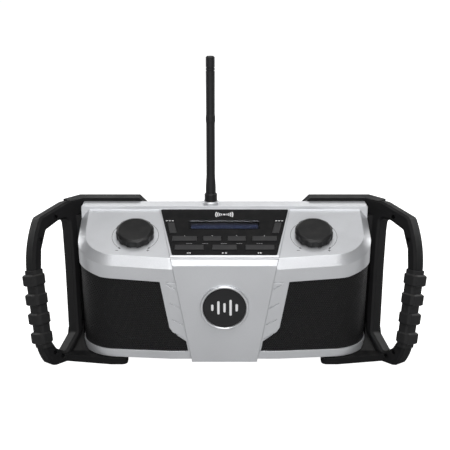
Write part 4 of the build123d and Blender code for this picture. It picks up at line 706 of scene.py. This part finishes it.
# %% Grille: the bending path and the flat window
SINK = 1.25  # the sheet lies this far inside the cabinet's faces
FLAT_HALF = 50.0
SWEEP = math.radians(5.3)
RIDGE = math.radians(24.5)
SIDE_X = 135.0 - SINK
BEND_R = 37.5 - SINK
FOOT_Y, FOOT_Z = -46.88, 9.25  # the sheet's plane in the middle, at the cabinet's floor
HEAD_Y, HEAD_Z = -54.34, 97.88  # and at the ridge
PATH_BACK_Y = 30.0
ARC_STEPS = 32


def bend_path():
    """Plan of the grille's outer face at the floor, from the middle of the front round to the side."""
    turn = math.pi / 2 - SWEEP
    reach = BEND_R * math.tan(turn / 2)
    corner = Vector((SIDE_X, FOOT_Y + (SIDE_X - FLAT_HALF) * math.tan(SWEEP)))
    along = Vector((math.cos(SWEEP), math.sin(SWEEP)))
    start = corner - along * reach
    centre = start + Vector((-along.y, along.x)) * BEND_R
    points = [Vector((0, FOOT_Y)), Vector((FLAT_HALF, FOOT_Y))]
    for step in range(ARC_STEPS + 1):
        angle = turn * (step / ARC_STEPS - 1)
        points.append(centre + Vector((math.cos(angle), math.sin(angle))) * BEND_R)
    points.append(Vector((SIDE_X, PATH_BACK_Y)))
    return points


path_points = bend_path()
print(f"bending path with {len(path_points)} points")

# %% [markdown]
# The window's corners are known from the front, as X and height. Walking along the path until X is reached
# turns them into distances along the bend.

# %% Grille: from the front view to the flat sheet
def walk(test):
    """Distance along the path to the place where a test first reaches zero."""
    gone = 0.0
    for first, second in zip(path_points, path_points[1:]):
        step = (second - first).length
        before, after = test(first), test(second)
        if before <= 0 <= after:
            return gone + step * before / (before - after)
        gone += step
    return gone


def flat_x(x):
    """Distance along the path to a place on the front."""
    return walk(lambda point: point.x - x)


def leaned(point, z):
    """Depth of the leaning sheet above a point of the plan, at a height."""
    back = point.y - FOOT_Y
    run = FOOT_Y - HEAD_Y + back * (1 - math.cos(RIDGE))
    rise = HEAD_Z - FOOT_Z + back * math.sin(RIDGE)
    return point.y - run / rise * (z - FOOT_Z)


def flat_side(y, z):
    """Distance along the bend to a depth on the side, at a height."""
    return walk(lambda point: leaned(point, z) - y if point.x > SIDE_X - 1 else -1)


WINDOW_BACK_Y = 4.0
TURN_X, TURN_Z, SIDE_TOP_Z = 112.0, 88.6, 94.6
climb = [
    (flat_x(x), TURN_Z + (SIDE_TOP_Z - TURN_Z) * (x - TURN_X) / (135.0 - TURN_X))
    for x in (133.4, 131.5, 128.5, 125.0, 120.5, 116.0, TURN_X)
]
window_flat = [
    (flat_x(33.25), 16.0),
    (flat_x(TURN_X), 15.8),
    (flat_side(WINDOW_BACK_Y, 15.8), 15.8),
    (flat_side(WINDOW_BACK_Y, SIDE_TOP_Z), SIDE_TOP_Z),
    *climb,
    (flat_x(58.2), 86.1),
    (flat_x(50.4), 40.4),
    (flat_x(47.6), 36.0),
    (flat_x(35.0), 26.1),
]


def grown(outline, margins):
    """An outline, counter-clockwise, with each edge moved outward by its own margin."""
    count = len(outline)
    lines = []
    for index in range(count):
        start, end = Vector(outline[index]), Vector(outline[(index + 1) % count])
        direction = (end - start).normalized()
        outward = Vector((direction.y, -direction.x))
        lines.append((start + outward * margins[index], direction))
    corners = []
    for index in range(count):
        (p, d), (q, e) = lines[index - 1], lines[index]
        share = ((q.x - p.x) * e.y - (q.y - p.y) * e.x) / (d.x * e.y - d.y * e.x)
        corners.append(p + d * share)
    return corners


SHIELD_EDGE = len(window_flat) - 1
HOLE_MARGIN, BAND_INNER, BAND_OUTER = 1.0, 0.9, 2.25
hole_edge = grown(window_flat, [HOLE_MARGIN] * SHIELD_EDGE + [-0.3])
band_inner = grown(window_flat, [BAND_INNER] * SHIELD_EDGE + [-1.1])
band_outer = grown(window_flat, [BAND_OUTER] * SHIELD_EDGE + [-0.3])
print("flat window", [tuple(round(c, 1) for c in corner) for corner in window_flat])

# %% [markdown]
# The input mesh holds two things: one large face that says where holes go, and a narrow band round it, the
# plain border of the sheet. The band's faces carry an attribute, so that the tree can tell them from the
# window.

# %% Grille: the flat template
BAND_STEP = 3.0


def template_mesh():
    """The window as one face, and its border as a band of small ones."""
    mesh = bpy.data.meshes.new("grille_template")
    verts = [(p.x, p.y, 0) for p in hole_edge]
    faces = [tuple(range(len(hole_edge)))]
    ring = []
    count = len(band_inner)
    for index in range(count):
        ends = band_inner[index], band_inner[(index + 1) % count]
        outs = band_outer[index], band_outer[(index + 1) % count]
        steps = max(1, round((ends[1] - ends[0]).length / BAND_STEP))
        for step in range(steps):
            share = step / steps
            ring.append((ends[0].lerp(ends[1], share), outs[0].lerp(outs[1], share)))
    first = len(verts)
    for inner, outer in ring:
        verts += [(inner.x, inner.y, 0), (outer.x, outer.y, 0)]
    for index in range(len(ring)):
        here, there = first + 2 * index, first + 2 * ((index + 1) % len(ring))
        faces.append((here, here + 1, there + 1, there))
    mesh.from_pydata([Vector(v) * MM for v in verts], [], faces)
    band = mesh.attributes.new("band", "BOOLEAN", "FACE")
    band.data.foreach_set("value", [face > 0 for face in range(len(faces))])
    return mesh


template = template_mesh()
print(f"template with {len(template.polygons)} faces")

# %% [markdown]
# The path becomes a poly curve. The tree samples it by length: the place tells where a point of the flat
# sheet goes, and the tangent which way is outward there.

# %% Grille: the path as a curve
path_curve = bpy.data.curves.new("grille_path", "CURVE")
path_curve.dimensions = "3D"
spline = path_curve.splines.new("POLY")
spline.points.add(len(path_points) - 1)
for point, target in zip(spline.points, path_points):
    point.co = (target.x * MM, target.y * MM, 0, 1)
path_object = bpy.data.objects.new("grille_path", path_curve)
ROOM.objects.link(path_object)
print("path curve ready")

# %% [markdown]
# The tree itself. A grid of points, every second row moved by half a pitch, is kept where a ray hits the
# window face. On each point stands one cell, a hexagon with a hole. Welded together the cells are one
# perforated sheet. Extrude Mesh gives the back and the walls of all holes at once. The last part bends the
# sheet and leans it with the front.

# %% Grille: the punching and bending tree
def punched_sheet():
    """A flat template in, a punched and bent sheet out."""
    machine = Machine(
        "punched_sheet",
        [
            ("Path", "NodeSocketObject", None),
            ("Pitch", NUMBER, 2.1 * MM),
            ("Hole Radius", NUMBER, 0.66 * MM),
            ("Thickness", NUMBER, 0.8 * MM),
            ("Foot Depth", NUMBER, FOOT_Y * MM),
            ("Foot Height", NUMBER, FOOT_Z * MM),
            ("Lean Run", NUMBER, (FOOT_Y - HEAD_Y) * MM),
            ("Lean Rise", NUMBER, (HEAD_Z - FOOT_Z) * MM),
            ("Reach", NUMBER, 200 * MM),
        ],
    )
    given, make, node, math_of = machine.given, machine.make, machine.node, machine.math
    pitch, reach, hole_radius = given["Pitch"], given["Reach"], given["Hole Radius"]
    template = {"Geometry": given["Geometry"], "Selection": machine.named("band", "BOOLEAN")}
    band, window = node("SeparateGeometry", template, domain="FACE").outputs

    # staggered points
    row_pitch = math_of("MULTIPLY", pitch, math.sqrt(3) / 2)
    columns = math_of("ROUND", math_of("DIVIDE", reach, pitch))
    rows = math_of("ROUND", math_of("DIVIDE", reach, row_pitch))
    sizes = {"Size X": math_of("MULTIPLY", columns, pitch), "Size Y": math_of("MULTIPLY", rows, row_pitch)}
    counts = {"Vertices X": math_of("ADD", columns, 1.0), "Vertices Y": math_of("ADD", rows, 1.0)}
    grid = make("MeshGrid", {**sizes, **counts})
    position = machine.position()
    row = math_of("ROUND", math_of("DIVIDE", machine.axis(position, "Y"), row_pitch))
    half_step = math_of("MULTIPLY", math_of("MULTIPLY", math_of("FLOORED_MODULO", row, 2.0), 0.5), pitch)
    middle = math_of("MULTIPLY", reach, 0.5)
    stagger = machine.arrow(X=math_of("ADD", half_step, middle), Y=middle)
    staggered = make("SetPosition", {"Geometry": grid, "Offset": stagger})
    ray = {
        "Target Geometry": window,
        "Source Position": machine.vector("ADD", position, (0, 0, 1.0)),
        "Ray Direction": (0, 0, -1.0),
        "Ray Length": 2.0,
    }
    hit = make("Raycast", ray)
    missed = add_node(machine.tree, "FunctionNodeBooleanMath", {0: hit}, operation="NOT").outputs[0]
    kept = make("DeleteGeometry", {"Geometry": staggered, "Selection": missed}, domain="POINT")

    # one cell: a ring of six quads between the hole and the hexagon
    hole = make("MeshCircle", {"Vertices": 6, "Radius": hole_radius})
    ring, top, _ = node("ExtrudeMesh", {"Mesh": hole, "Offset Scale": 0.0}, mode="EDGES").outputs
    growth = math_of("DIVIDE", math_of("DIVIDE", pitch, math.sqrt(3)), hole_radius)
    outward = machine.vector("SCALE", machine.position(), None, None, growth)
    cell = make("SetPosition", {"Geometry": ring, "Selection": top, "Position": outward})
    turned = make("Transform", {"Geometry": cell, "Rotation": (0, 0, math.radians(30))})
    loose = make("RealizeInstances", {0: make("InstanceOnPoints", {"Points": kept, "Instance": turned})})
    welded = make("MergeByDistance", {"Geometry": loose, "Distance": 0.02 * MM})

    # all faces look up before the sheet gets its back and walls
    flat = machine.join(band, welded)
    up = machine.axis(make("InputNormal"), "Z")
    comparison = {"operation": "LESS_THAN", "data_type": "FLOAT"}
    upside_down = add_node(machine.tree, "FunctionNodeCompare", {0: up, 1: 0.0}, **comparison).outputs[0]
    front = make("FlipFaces", {"Mesh": flat, "Selection": upside_down})
    thickness = {
        "Mesh": make("FlipFaces", {"Mesh": front}),
        "Offset": (0, 0, -1.0),
        "Offset Scale": given["Thickness"],
        "Individual": False,
    }
    sheet = machine.join(front, make("ExtrudeMesh", thickness, mode="FACES"))
    closed = make("MergeByDistance", {"Geometry": sheet, "Distance": 0.005 * MM})

    # bend along the path, then lean
    path = node("ObjectInfo", {"Object": given["Path"]}).outputs["Geometry"]
    flat_place = machine.position()
    height = machine.axis(flat_place, "Y")
    travelled = {"Curves": path, "Length": machine.axis(flat_place, "X")}
    on_path = node("SampleCurve", travelled, mode="LENGTH").outputs
    tangent = on_path["Tangent"]
    sideways = math_of("MULTIPLY", machine.axis(tangent, "X"), -1.0)
    facing = machine.arrow(X=machine.axis(tangent, "Y"), Y=sideways)
    proud = machine.vector("MULTIPLY_ADD", facing, machine.axis(flat_place, "Z"), on_path["Position"])
    back = math_of("SUBTRACT", machine.axis(on_path["Position"], "Y"), given["Foot Depth"])
    run = math_of("MULTIPLY_ADD", back, 1 - math.cos(RIDGE), given["Lean Run"])
    rise = math_of("MULTIPLY_ADD", back, math.sin(RIDGE), given["Lean Rise"])
    above_foot = math_of("SUBTRACT", given["Foot Height"], height)
    forward = math_of("MULTIPLY", math_of("DIVIDE", run, rise), above_foot)
    bent = machine.vector("ADD", proud, machine.arrow(Y=forward, Z=height))
    return machine.close(make("SetPosition", {"Geometry": closed, "Position": bent}), grille_black)


right_grille = run_machine("right_grille_sheet", punched_sheet(), template, Path=path_object)

# %% [markdown]
# The left grille is the mirror image. Mirroring turns every face inside out, so the faces are flipped back.

# %% Grille: the left side
def mirrored(piece, name):
    """A copy of a piece on the other side of the radio."""
    mesh = piece.data.copy()
    mesh.transform(Matrix.Diagonal((-1, 1, 1, 1)))
    mesh.flip_normals()
    twin = bpy.data.objects.new(name, mesh)
    ROOM.objects.link(twin)
    return twin


left_grille = mirrored(right_grille, "left_grille_sheet")
bpy.data.objects.remove(path_object)
fit_piece(right_grille, "grille_black", "right_grille")
fit_piece(left_grille, "grille_black", "left_grille")
print("both grilles in place")

# %% [markdown]
# Screws stand in groups: four in each handle's front, eight round the housing, and more that hold the
# frames and the boards. In the solid model they are plain studs. The script reads each stud's head from
# that model as the widest flat ring of its points, and leaves one point there, which carries the direction,
# the radius and the length.

# %% Screw points from the solid parts
WELD = 0.001
LEAST_ROUND = 20  # a flat end of a screw has more corners than this


def loose_parts(node):
    """The separate shells of a CAD object, each as points and face normals, in millimetres."""
    copy = bmesh.new()
    copy.from_mesh(node.data)
    copy.transform(Matrix.Scale(1 / MM, 4))
    bmesh.ops.remove_doubles(copy, verts=copy.verts, dist=WELD)
    copy.verts.index_update()
    seen, shells = set(), []
    for start in copy.verts:
        if start in seen:
            continue
        seen.add(start)
        waiting, points, normals = [start], [], set()
        while waiting:
            vert = waiting.pop()
            points.append(vert.co.copy())
            normals.update(tuple(round(c, 3) for c in face.normal) for face in vert.link_faces)
            fresh = {edge.other_vert(vert) for edge in vert.link_edges} - seen
            fresh = sorted(fresh, key=lambda other: other.index)
            seen.update(fresh)
            waiting += fresh
        shells.append((points, [Vector(normal).normalized() for normal in sorted(normals)]))
    copy.free()
    return shells


def widest_end(points, normals):
    """Middle, direction, radius and length of a round body, seen from its wider end."""
    best = (0, None, None, 0)
    for normal in normals:
        heights = [point.dot(normal) for point in points]
        end = [point for point, height in zip(points, heights) if height > max(heights) - 0.02]
        middle = sum(end, Vector()) / len(end)
        radius = max((point - middle).length for point in end)
        if len(end) > LEAST_ROUND and radius > best[0] + 0.01:
            best = (radius, middle, normal, max(heights) - min(heights))
    return best


def head_points(node):
    """A mesh of one point for each screw of a node."""
    screws = [widest_end(*shell) for shell in loose_parts(node)]
    mesh = bpy.data.meshes.new(node.name + "_points")
    mesh.from_pydata([middle * MM for _, middle, _, _ in screws], [], [])
    facing = mesh.attributes.new("facing", "FLOAT_VECTOR", "POINT")
    facing.data.foreach_set("vector", [c for _, _, normal, _ in screws for c in normal])
    for name, index in (("radius", 0), ("length", 3)):
        column = mesh.attributes.new(name, "FLOAT", "POINT")
        column.data.foreach_set("value", [screw[index] * MM for screw in screws])
    return mesh


print("screw readers ready")

# %% [markdown]
# The tree makes one head of unit size: a disc whose rim is drawn in, with a cross cut into its face by two
# crossed bars. Under it stands a plain shank. Instances of both are turned to each point's direction and
# scaled to its size.

# %% Screws by Geometry Nodes
def screw_machine(finish):
    """Points in, screws with a cross recess out. All sizes are shares of the head's radius."""
    machine = Machine(
        "cross_screws_" + finish.name,
        [
            ("Head Height", NUMBER, 0.9),
            ("Crown Height", NUMBER, 0.25),
            ("Crown Width", NUMBER, 0.78),
            ("Recess Width", NUMBER, 0.26),
            ("Recess Reach", NUMBER, 1.1),
            ("Recess Depth", NUMBER, 0.55),
            ("Shank Width", NUMBER, 0.5),
        ],
    )
    given, make, node, math_of = machine.given, machine.make, machine.node, machine.math
    crown_height, recess_depth = given["Crown Height"], given["Recess Depth"]
    low = math_of("SUBTRACT", given["Head Height"], crown_height)
    disc = node("MeshCylinder", {"Vertices": 28, "Radius": 1.0, "Depth": low}).outputs
    sunk = math_of("ADD", crown_height, math_of("MULTIPLY", low, 0.5))
    below = machine.arrow(Z=math_of("MULTIPLY", sunk, -1.0))
    rim = {
        "Mesh": make("Transform", {"Geometry": disc["Mesh"], "Translation": below}),
        "Selection": disc["Top"],
        "Offset Scale": crown_height,
        "Individual": False,
    }
    crown, top, _ = node("ExtrudeMesh", rim, mode="FACES").outputs
    narrowing = {"Geometry": crown, "Selection": top, "Scale": given["Crown Width"]}
    drawn = make("ScaleElements", narrowing, domain="FACE")
    deep = math_of("MULTIPLY", recess_depth, 2.0)
    bar = make("MeshCube", {"Size": machine.arrow(X=given["Recess Reach"], Y=given["Recess Width"], Z=deep)})
    crossed = make("Transform", {"Geometry": bar, "Rotation": (0, 0, math.radians(90))})
    cut = node("MeshBoolean", {0: drawn}, operation="DIFFERENCE", solver="EXACT")
    machine.tree.links.new(bar, cut.inputs[1])
    machine.tree.links.new(crossed, cut.inputs[1])

    facing = machine.named("facing", "FLOAT_VECTOR")
    radius = machine.named("radius", "FLOAT")
    length = machine.named("length", "FLOAT")
    align = "FunctionNodeAlignRotationToVector"
    turn = add_node(machine.tree, align, {"Vector": facing}, axis="Z").outputs[0]
    head = {"Points": given["Geometry"], "Instance": cut.outputs["Mesh"], "Rotation": turn, "Scale": radius}
    rod = make("MeshCylinder", {"Vertices": 16, "Radius": 1.0, "Depth": 1.0})
    hung = make("Transform", {"Geometry": rod, "Translation": (0, 0, -0.5)})
    girth = math_of("MULTIPLY", radius, given["Shank Width"])
    under = math_of("MULTIPLY", radius, recess_depth)
    sizes = machine.arrow(X=girth, Y=girth, Z=math_of("SUBTRACT", length, under))
    start = machine.vector("SCALE", facing, None, None, math_of("MULTIPLY", under, -1.0))
    roots = make("SetPosition", {"Geometry": given["Geometry"], "Offset": start})
    shank = {"Points": roots, "Instance": hung, "Rotation": turn, "Scale": sizes}
    both = machine.join(make("InstanceOnPoints", head), make("InstanceOnPoints", shank))
    return machine.close(both, finish)


dark_screws, bright_screws = screw_machine(dark_steel), screw_machine(steel)
for node, machine in (
    ("frame_screws", dark_screws),
    ("housing_screws", dark_screws),
    ("mounting_screws", dark_screws),
    ("board_screws", bright_screws),
):
    screws = run_machine(node + "_set", machine, head_points(frame["nodes"][node]))
    fit_piece(screws, slots[node], node)
print("screws in place")

# %% [markdown]
# The ink on the console and the panel is a pad print: a film of paint about a twentieth of a millimetre
# thick. Each mark is drawn as closed outlines in millimetres on a face of the console, filled as a flat
# curve with a little depth, and made a mesh before it is put in its place. The places are measured across,
# and up the slope of the face.

# %% Ink and the faces that carry it
def ink(name, colour, rough=0.5):
    """A film of ink, which is smoother than what it is printed on."""
    return moulded(name, colour, rough, 0.2, 0.002, drift=0.04, edge=0.0, dust=0.02)


white_ink = ink("white_ink", (0.78, 0.78, 0.79), 0.45)
dark_ink = ink("dark_ink", (0.02, 0.02, 0.022))
grey_ink = ink("grey_ink", (0.3, 0.3, 0.31))

INK_DEPTH = 0.05
FACE_SLOPE = math.radians(24.1)
FACE_FOOT = Vector((0, -52.5, 110.5))
CONSOLE_RISE, PANEL_RISE = -0.8, -0.2
face_up = Vector((0, math.cos(FACE_SLOPE), math.sin(FACE_SLOPE)))
face_out = Vector((0, -math.sin(FACE_SLOPE), math.cos(FACE_SLOPE)))


def plane_at(origin, up, out):
    """A matrix from millimetres on a face, across, up and out, to the scene's metres."""
    turn = Matrix((up.cross(out), up, out)).transposed().to_4x4()
    return Matrix.Scale(MM, 4) @ Matrix.Translation(origin) @ turn


def face_at(rise):
    """The sloped face that lies this far above the console's reference plane."""
    return plane_at(FACE_FOOT + face_out * rise, face_up, face_out)


def curve_mesh(data):
    """The filled shape of a curve or a text, as a mesh."""
    holder = bpy.data.objects.new("holder", data)
    ROOM.objects.link(holder)
    mesh = bpy.data.meshes.new_from_object(holder.evaluated_get(bpy.context.evaluated_depsgraph_get()))
    bpy.data.objects.remove(holder)
    return mesh


def outline_mesh(name, outlines):
    """Closed outlines as one filled, flat mesh."""
    marks = bpy.data.curves.new(name, "CURVE")
    marks.dimensions, marks.fill_mode, marks.extrude = "2D", "BOTH", INK_DEPTH / 2
    for outline in outlines:
        spline = marks.splines.new("POLY")
        spline.points.add(len(outline) - 1)
        for point, (x, y) in zip(spline.points, outline):
            point.co = (x, y, 0, 1)
        spline.use_cyclic_u = True
    return curve_mesh(marks)


def word_mesh(text, middle, letter):
    """A word round a point, with letters of a given size."""
    line = bpy.data.curves.new(text, "FONT")
    line.body, line.size, line.extrude = text, letter, INK_DEPTH / 2
    line.align_x, line.align_y, line.resolution_u = "CENTER", "CENTER", 3
    mesh = curve_mesh(line)
    mesh.transform(Matrix.Translation((*middle, 0)))
    return mesh


def print_piece(name, place, slot, film, outlines, words=()):
    """One printed piece of the cabinet: outlines, and words as text, middle and letter size."""
    shape = bmesh.new()
    shape.from_mesh(outline_mesh(name, outlines))
    for word in words:
        shape.from_mesh(word_mesh(*word))
    bmesh.ops.remove_doubles(shape, verts=shape.verts, dist=WELD)
    bmesh.ops.recalc_face_normals(shape, faces=shape.faces)
    mesh = bpy.data.meshes.new(name)
    shape.to_mesh(mesh)
    shape.free()
    mesh.transform(place)
    mesh.materials.append(film)
    piece = bpy.data.objects.new(name, mesh)
    ROOM.objects.link(piece)
    fit_piece(piece, slot)
    print(f"{name}: {len(mesh.polygons)} faces")


print("ink ready")

# %% [markdown]
# Round each knob runs a thin arc, open towards the user, with an arrowhead at each end. A sign beside each
# arrowhead says which way is less and which is more.

# %% Arcs round the knobs
def arc_band(middle, radius, width, start, end, steps=40):
    """A part of a ring as one closed outline; angles are in degrees from straight down."""
    angles = [math.radians(start + (end - start) * step / steps - 90) for step in range(steps + 1)]
    edges = []
    for reach in (radius + width / 2, radius - width / 2):
        edges.append([(middle[0] + reach * math.cos(a), middle[1] + reach * math.sin(a)) for a in angles])
    return edges[0] + edges[1][::-1]


def arrowhead(middle, radius, angle, sense, length=2.6, width=1.7):
    """A triangle at an arc's end that points along it."""
    turn = math.radians(angle - 90)
    out = Vector((math.cos(turn), math.sin(turn)))
    ahead = Vector((-out.y, out.x)) * sense
    foot = Vector(middle) + out * radius
    return [tuple(foot + ahead * length), tuple(foot + out * width / 2), tuple(foot - out * width / 2)]


def bar(middle, width, height):
    """A rectangle round a point."""
    x, y = middle
    corners = ((-1, -1), (1, -1), (1, 1), (-1, 1))
    return [(x + side * width / 2, y + end * height / 2) for side, end in corners]


KNOB_X, KNOB_UP = 81.4, 27.3
ARC_RADIUS, ARC_WIDTH, ARC_OPEN = 21.2, 0.32, 41.0
SIGN_DROP = 3.6  # from the arc's ends down to the signs
LESS_SHIFT, MORE_SHIFT = -15.2, 12.6
SIGN_SIZE, SIGN_LINE = 2.6, 0.55
SIGN_ARM, ARM_SHIFT = 1.02, 0.79  # the upper and lower arm of the plus sign

for name, x in (("volume_arc", -KNOB_X), ("tuning_arc", KNOB_X)):
    middle = (x, KNOB_UP)
    low = KNOB_UP - ARC_RADIUS * math.cos(math.radians(ARC_OPEN)) - SIGN_DROP
    marks = [
        arc_band(middle, ARC_RADIUS, ARC_WIDTH, ARC_OPEN, 360 - ARC_OPEN, 96),
        arrowhead(middle, ARC_RADIUS, ARC_OPEN, -1),
        arrowhead(middle, ARC_RADIUS, -ARC_OPEN, 1),
        bar((x + LESS_SHIFT, low), SIGN_SIZE, SIGN_LINE),
        bar((x + MORE_SHIFT, low), SIGN_SIZE, SIGN_LINE),
        bar((x + MORE_SHIFT, low + ARM_SHIFT), SIGN_LINE, SIGN_ARM),
        bar((x + MORE_SHIFT, low - ARM_SHIFT), SIGN_LINE, SIGN_ARM),
    ]
    print_piece(name, face_at(CONSOLE_RISE), "key_black", dark_ink, marks)
print("arcs printed")

# %% [markdown]
# The panel's print is white. A generic radio mark, a dot between two sets of waves, stands above the
# display. Under the lower keys are the usual signs for back, play or pause, and next. The four preset keys
# are numbered, and three short bars mark each of the upright keys.

# %% Print on the panel
def triangle(middle, size, sense):
    """A triangle that points right for a sense of 1, and left for -1."""
    (x, y), half, tip = middle, size / 2, sense * size / 2
    return [(x - tip, y - half), (x + tip, y), (x - tip, y + half)]


def disc(middle, radius, steps=20):
    """A round dot."""
    turns = [2 * math.pi * step / steps for step in range(steps)]
    return [(middle[0] + radius * math.cos(a), middle[1] + radius * math.sin(a)) for a in turns]


MARK, DOT_RADIUS = (-0.2, 56.6), 1.2
WAVES, WAVE_WIDTH, WAVE_HALF_ANGLE = (2.6, 4.4, 6.2, 8.0), 1.0, 26
SIGN_UP, SIGN_TALL = 3.7, 1.9
BACK_X, PLAY_X, NEXT_X = -32.2, -1.2, 31.8
PRESET_X, PRESET_LABEL_UP = (-36.3, -11.1, 11.1, 36.3), 26.3
SIDE_X_PAIR, SIDE_UP, SIDE_STEP = (-50.8, 50.8), 47.6, 2.7
DASH_X, DASH_UP, DASH_STEP = (-32.0, -17.6, -0.6, 13.4, 31.6), 16.2, 1.9

signs = [disc(MARK, DOT_RADIUS)]
for radius in WAVES:
    for facing in (90, 270):
        ends = facing - WAVE_HALF_ANGLE, facing + WAVE_HALF_ANGLE
        signs.append(arc_band(MARK, radius, WAVE_WIDTH, *ends, 10))
for x, sense in ((BACK_X, -1), (NEXT_X, 1)):
    signs += [triangle((x + shift, SIGN_UP), SIGN_TALL, sense) for shift in (-1.0, 1.0)]
signs.append(triangle((PLAY_X, SIGN_UP), SIGN_TALL, 1))
signs += [bar((PLAY_X + shift, SIGN_UP), SIGN_LINE, SIGN_TALL) for shift in (2.0, 3.1)]
signs += [bar((x + step * SIDE_STEP, SIDE_UP), 1.8, 0.9) for x in SIDE_X_PAIR for step in (-1, 0, 1)]
words = [(str(count + 1), (x, PRESET_LABEL_UP), 2.5) for count, x in enumerate(PRESET_X)]
print_piece("panel_print", face_at(PANEL_RISE), "silver_plastic", white_ink, signs, words)

dashes = [bar((x + step * DASH_STEP, DASH_UP), 1.5, 0.5) for x in DASH_X for step in (-1, 0, 1)]
print_piece("panel_dashes", face_at(PANEL_RISE), "silver_plastic", grey_ink, dashes)
print("panel printed")

# %% [markdown]
# The badge carries no name. Five upright bars, like a level meter, fill its place: each has round ends, and
# stands a little proud of the turned disc.

# %% Badge bars
def pill(middle, width, height, steps=8):
    """An upright bar with round ends."""
    x, y = middle
    radius, half = width / 2, height / 2 - width / 2
    turns = [math.pi * step / steps for step in range(steps + 1)]
    top = [(x + radius * math.cos(a), y + half + radius * math.sin(a)) for a in turns]
    return top + [(x - radius * math.cos(a), y - half - radius * math.sin(a)) for a in turns]


FLOOR_END, RIDGE_END = Vector((-49.5, 5.6)), Vector((-58.0, 102.7))  # the tongue's face, as depth and height
LEVEL_WIDTH = 2.2
LEVELS = {-11: 6.5, -5.5: 13.5, 0: 9.5, 5.5: 16.0, 11: 7.5}

lean = math.atan2(FLOOR_END.x - RIDGE_END.x, RIDGE_END.y - FLOOR_END.y)
badge_out = Vector((0, -math.cos(lean), -math.sin(lean)))
badge_up = Vector((0, -math.sin(lean), math.cos(lean)))
disc_face = max(corner.co.dot(badge_out) for corner in frame["nodes"]["badge_disc"].data.vertices) / MM
badge_rise = disc_face - BADGE_CENTRE.dot(badge_out)
badge_face = plane_at(BADGE_CENTRE + badge_out * badge_rise, badge_up, badge_out)
levels = [pill((x, 0), LEVEL_WIDTH, height) for x, height in LEVELS.items()]
print_piece("badge_bars", badge_face, "badge_metal", white_ink, levels)
print("the badge's face is", round(badge_rise, 2), "mm above the tongue")

# %% Finish
size = {"cad": [list(corner) for corner in cad_box], "visual": [list(corner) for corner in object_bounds()]}
print("visual box", size["visual"])
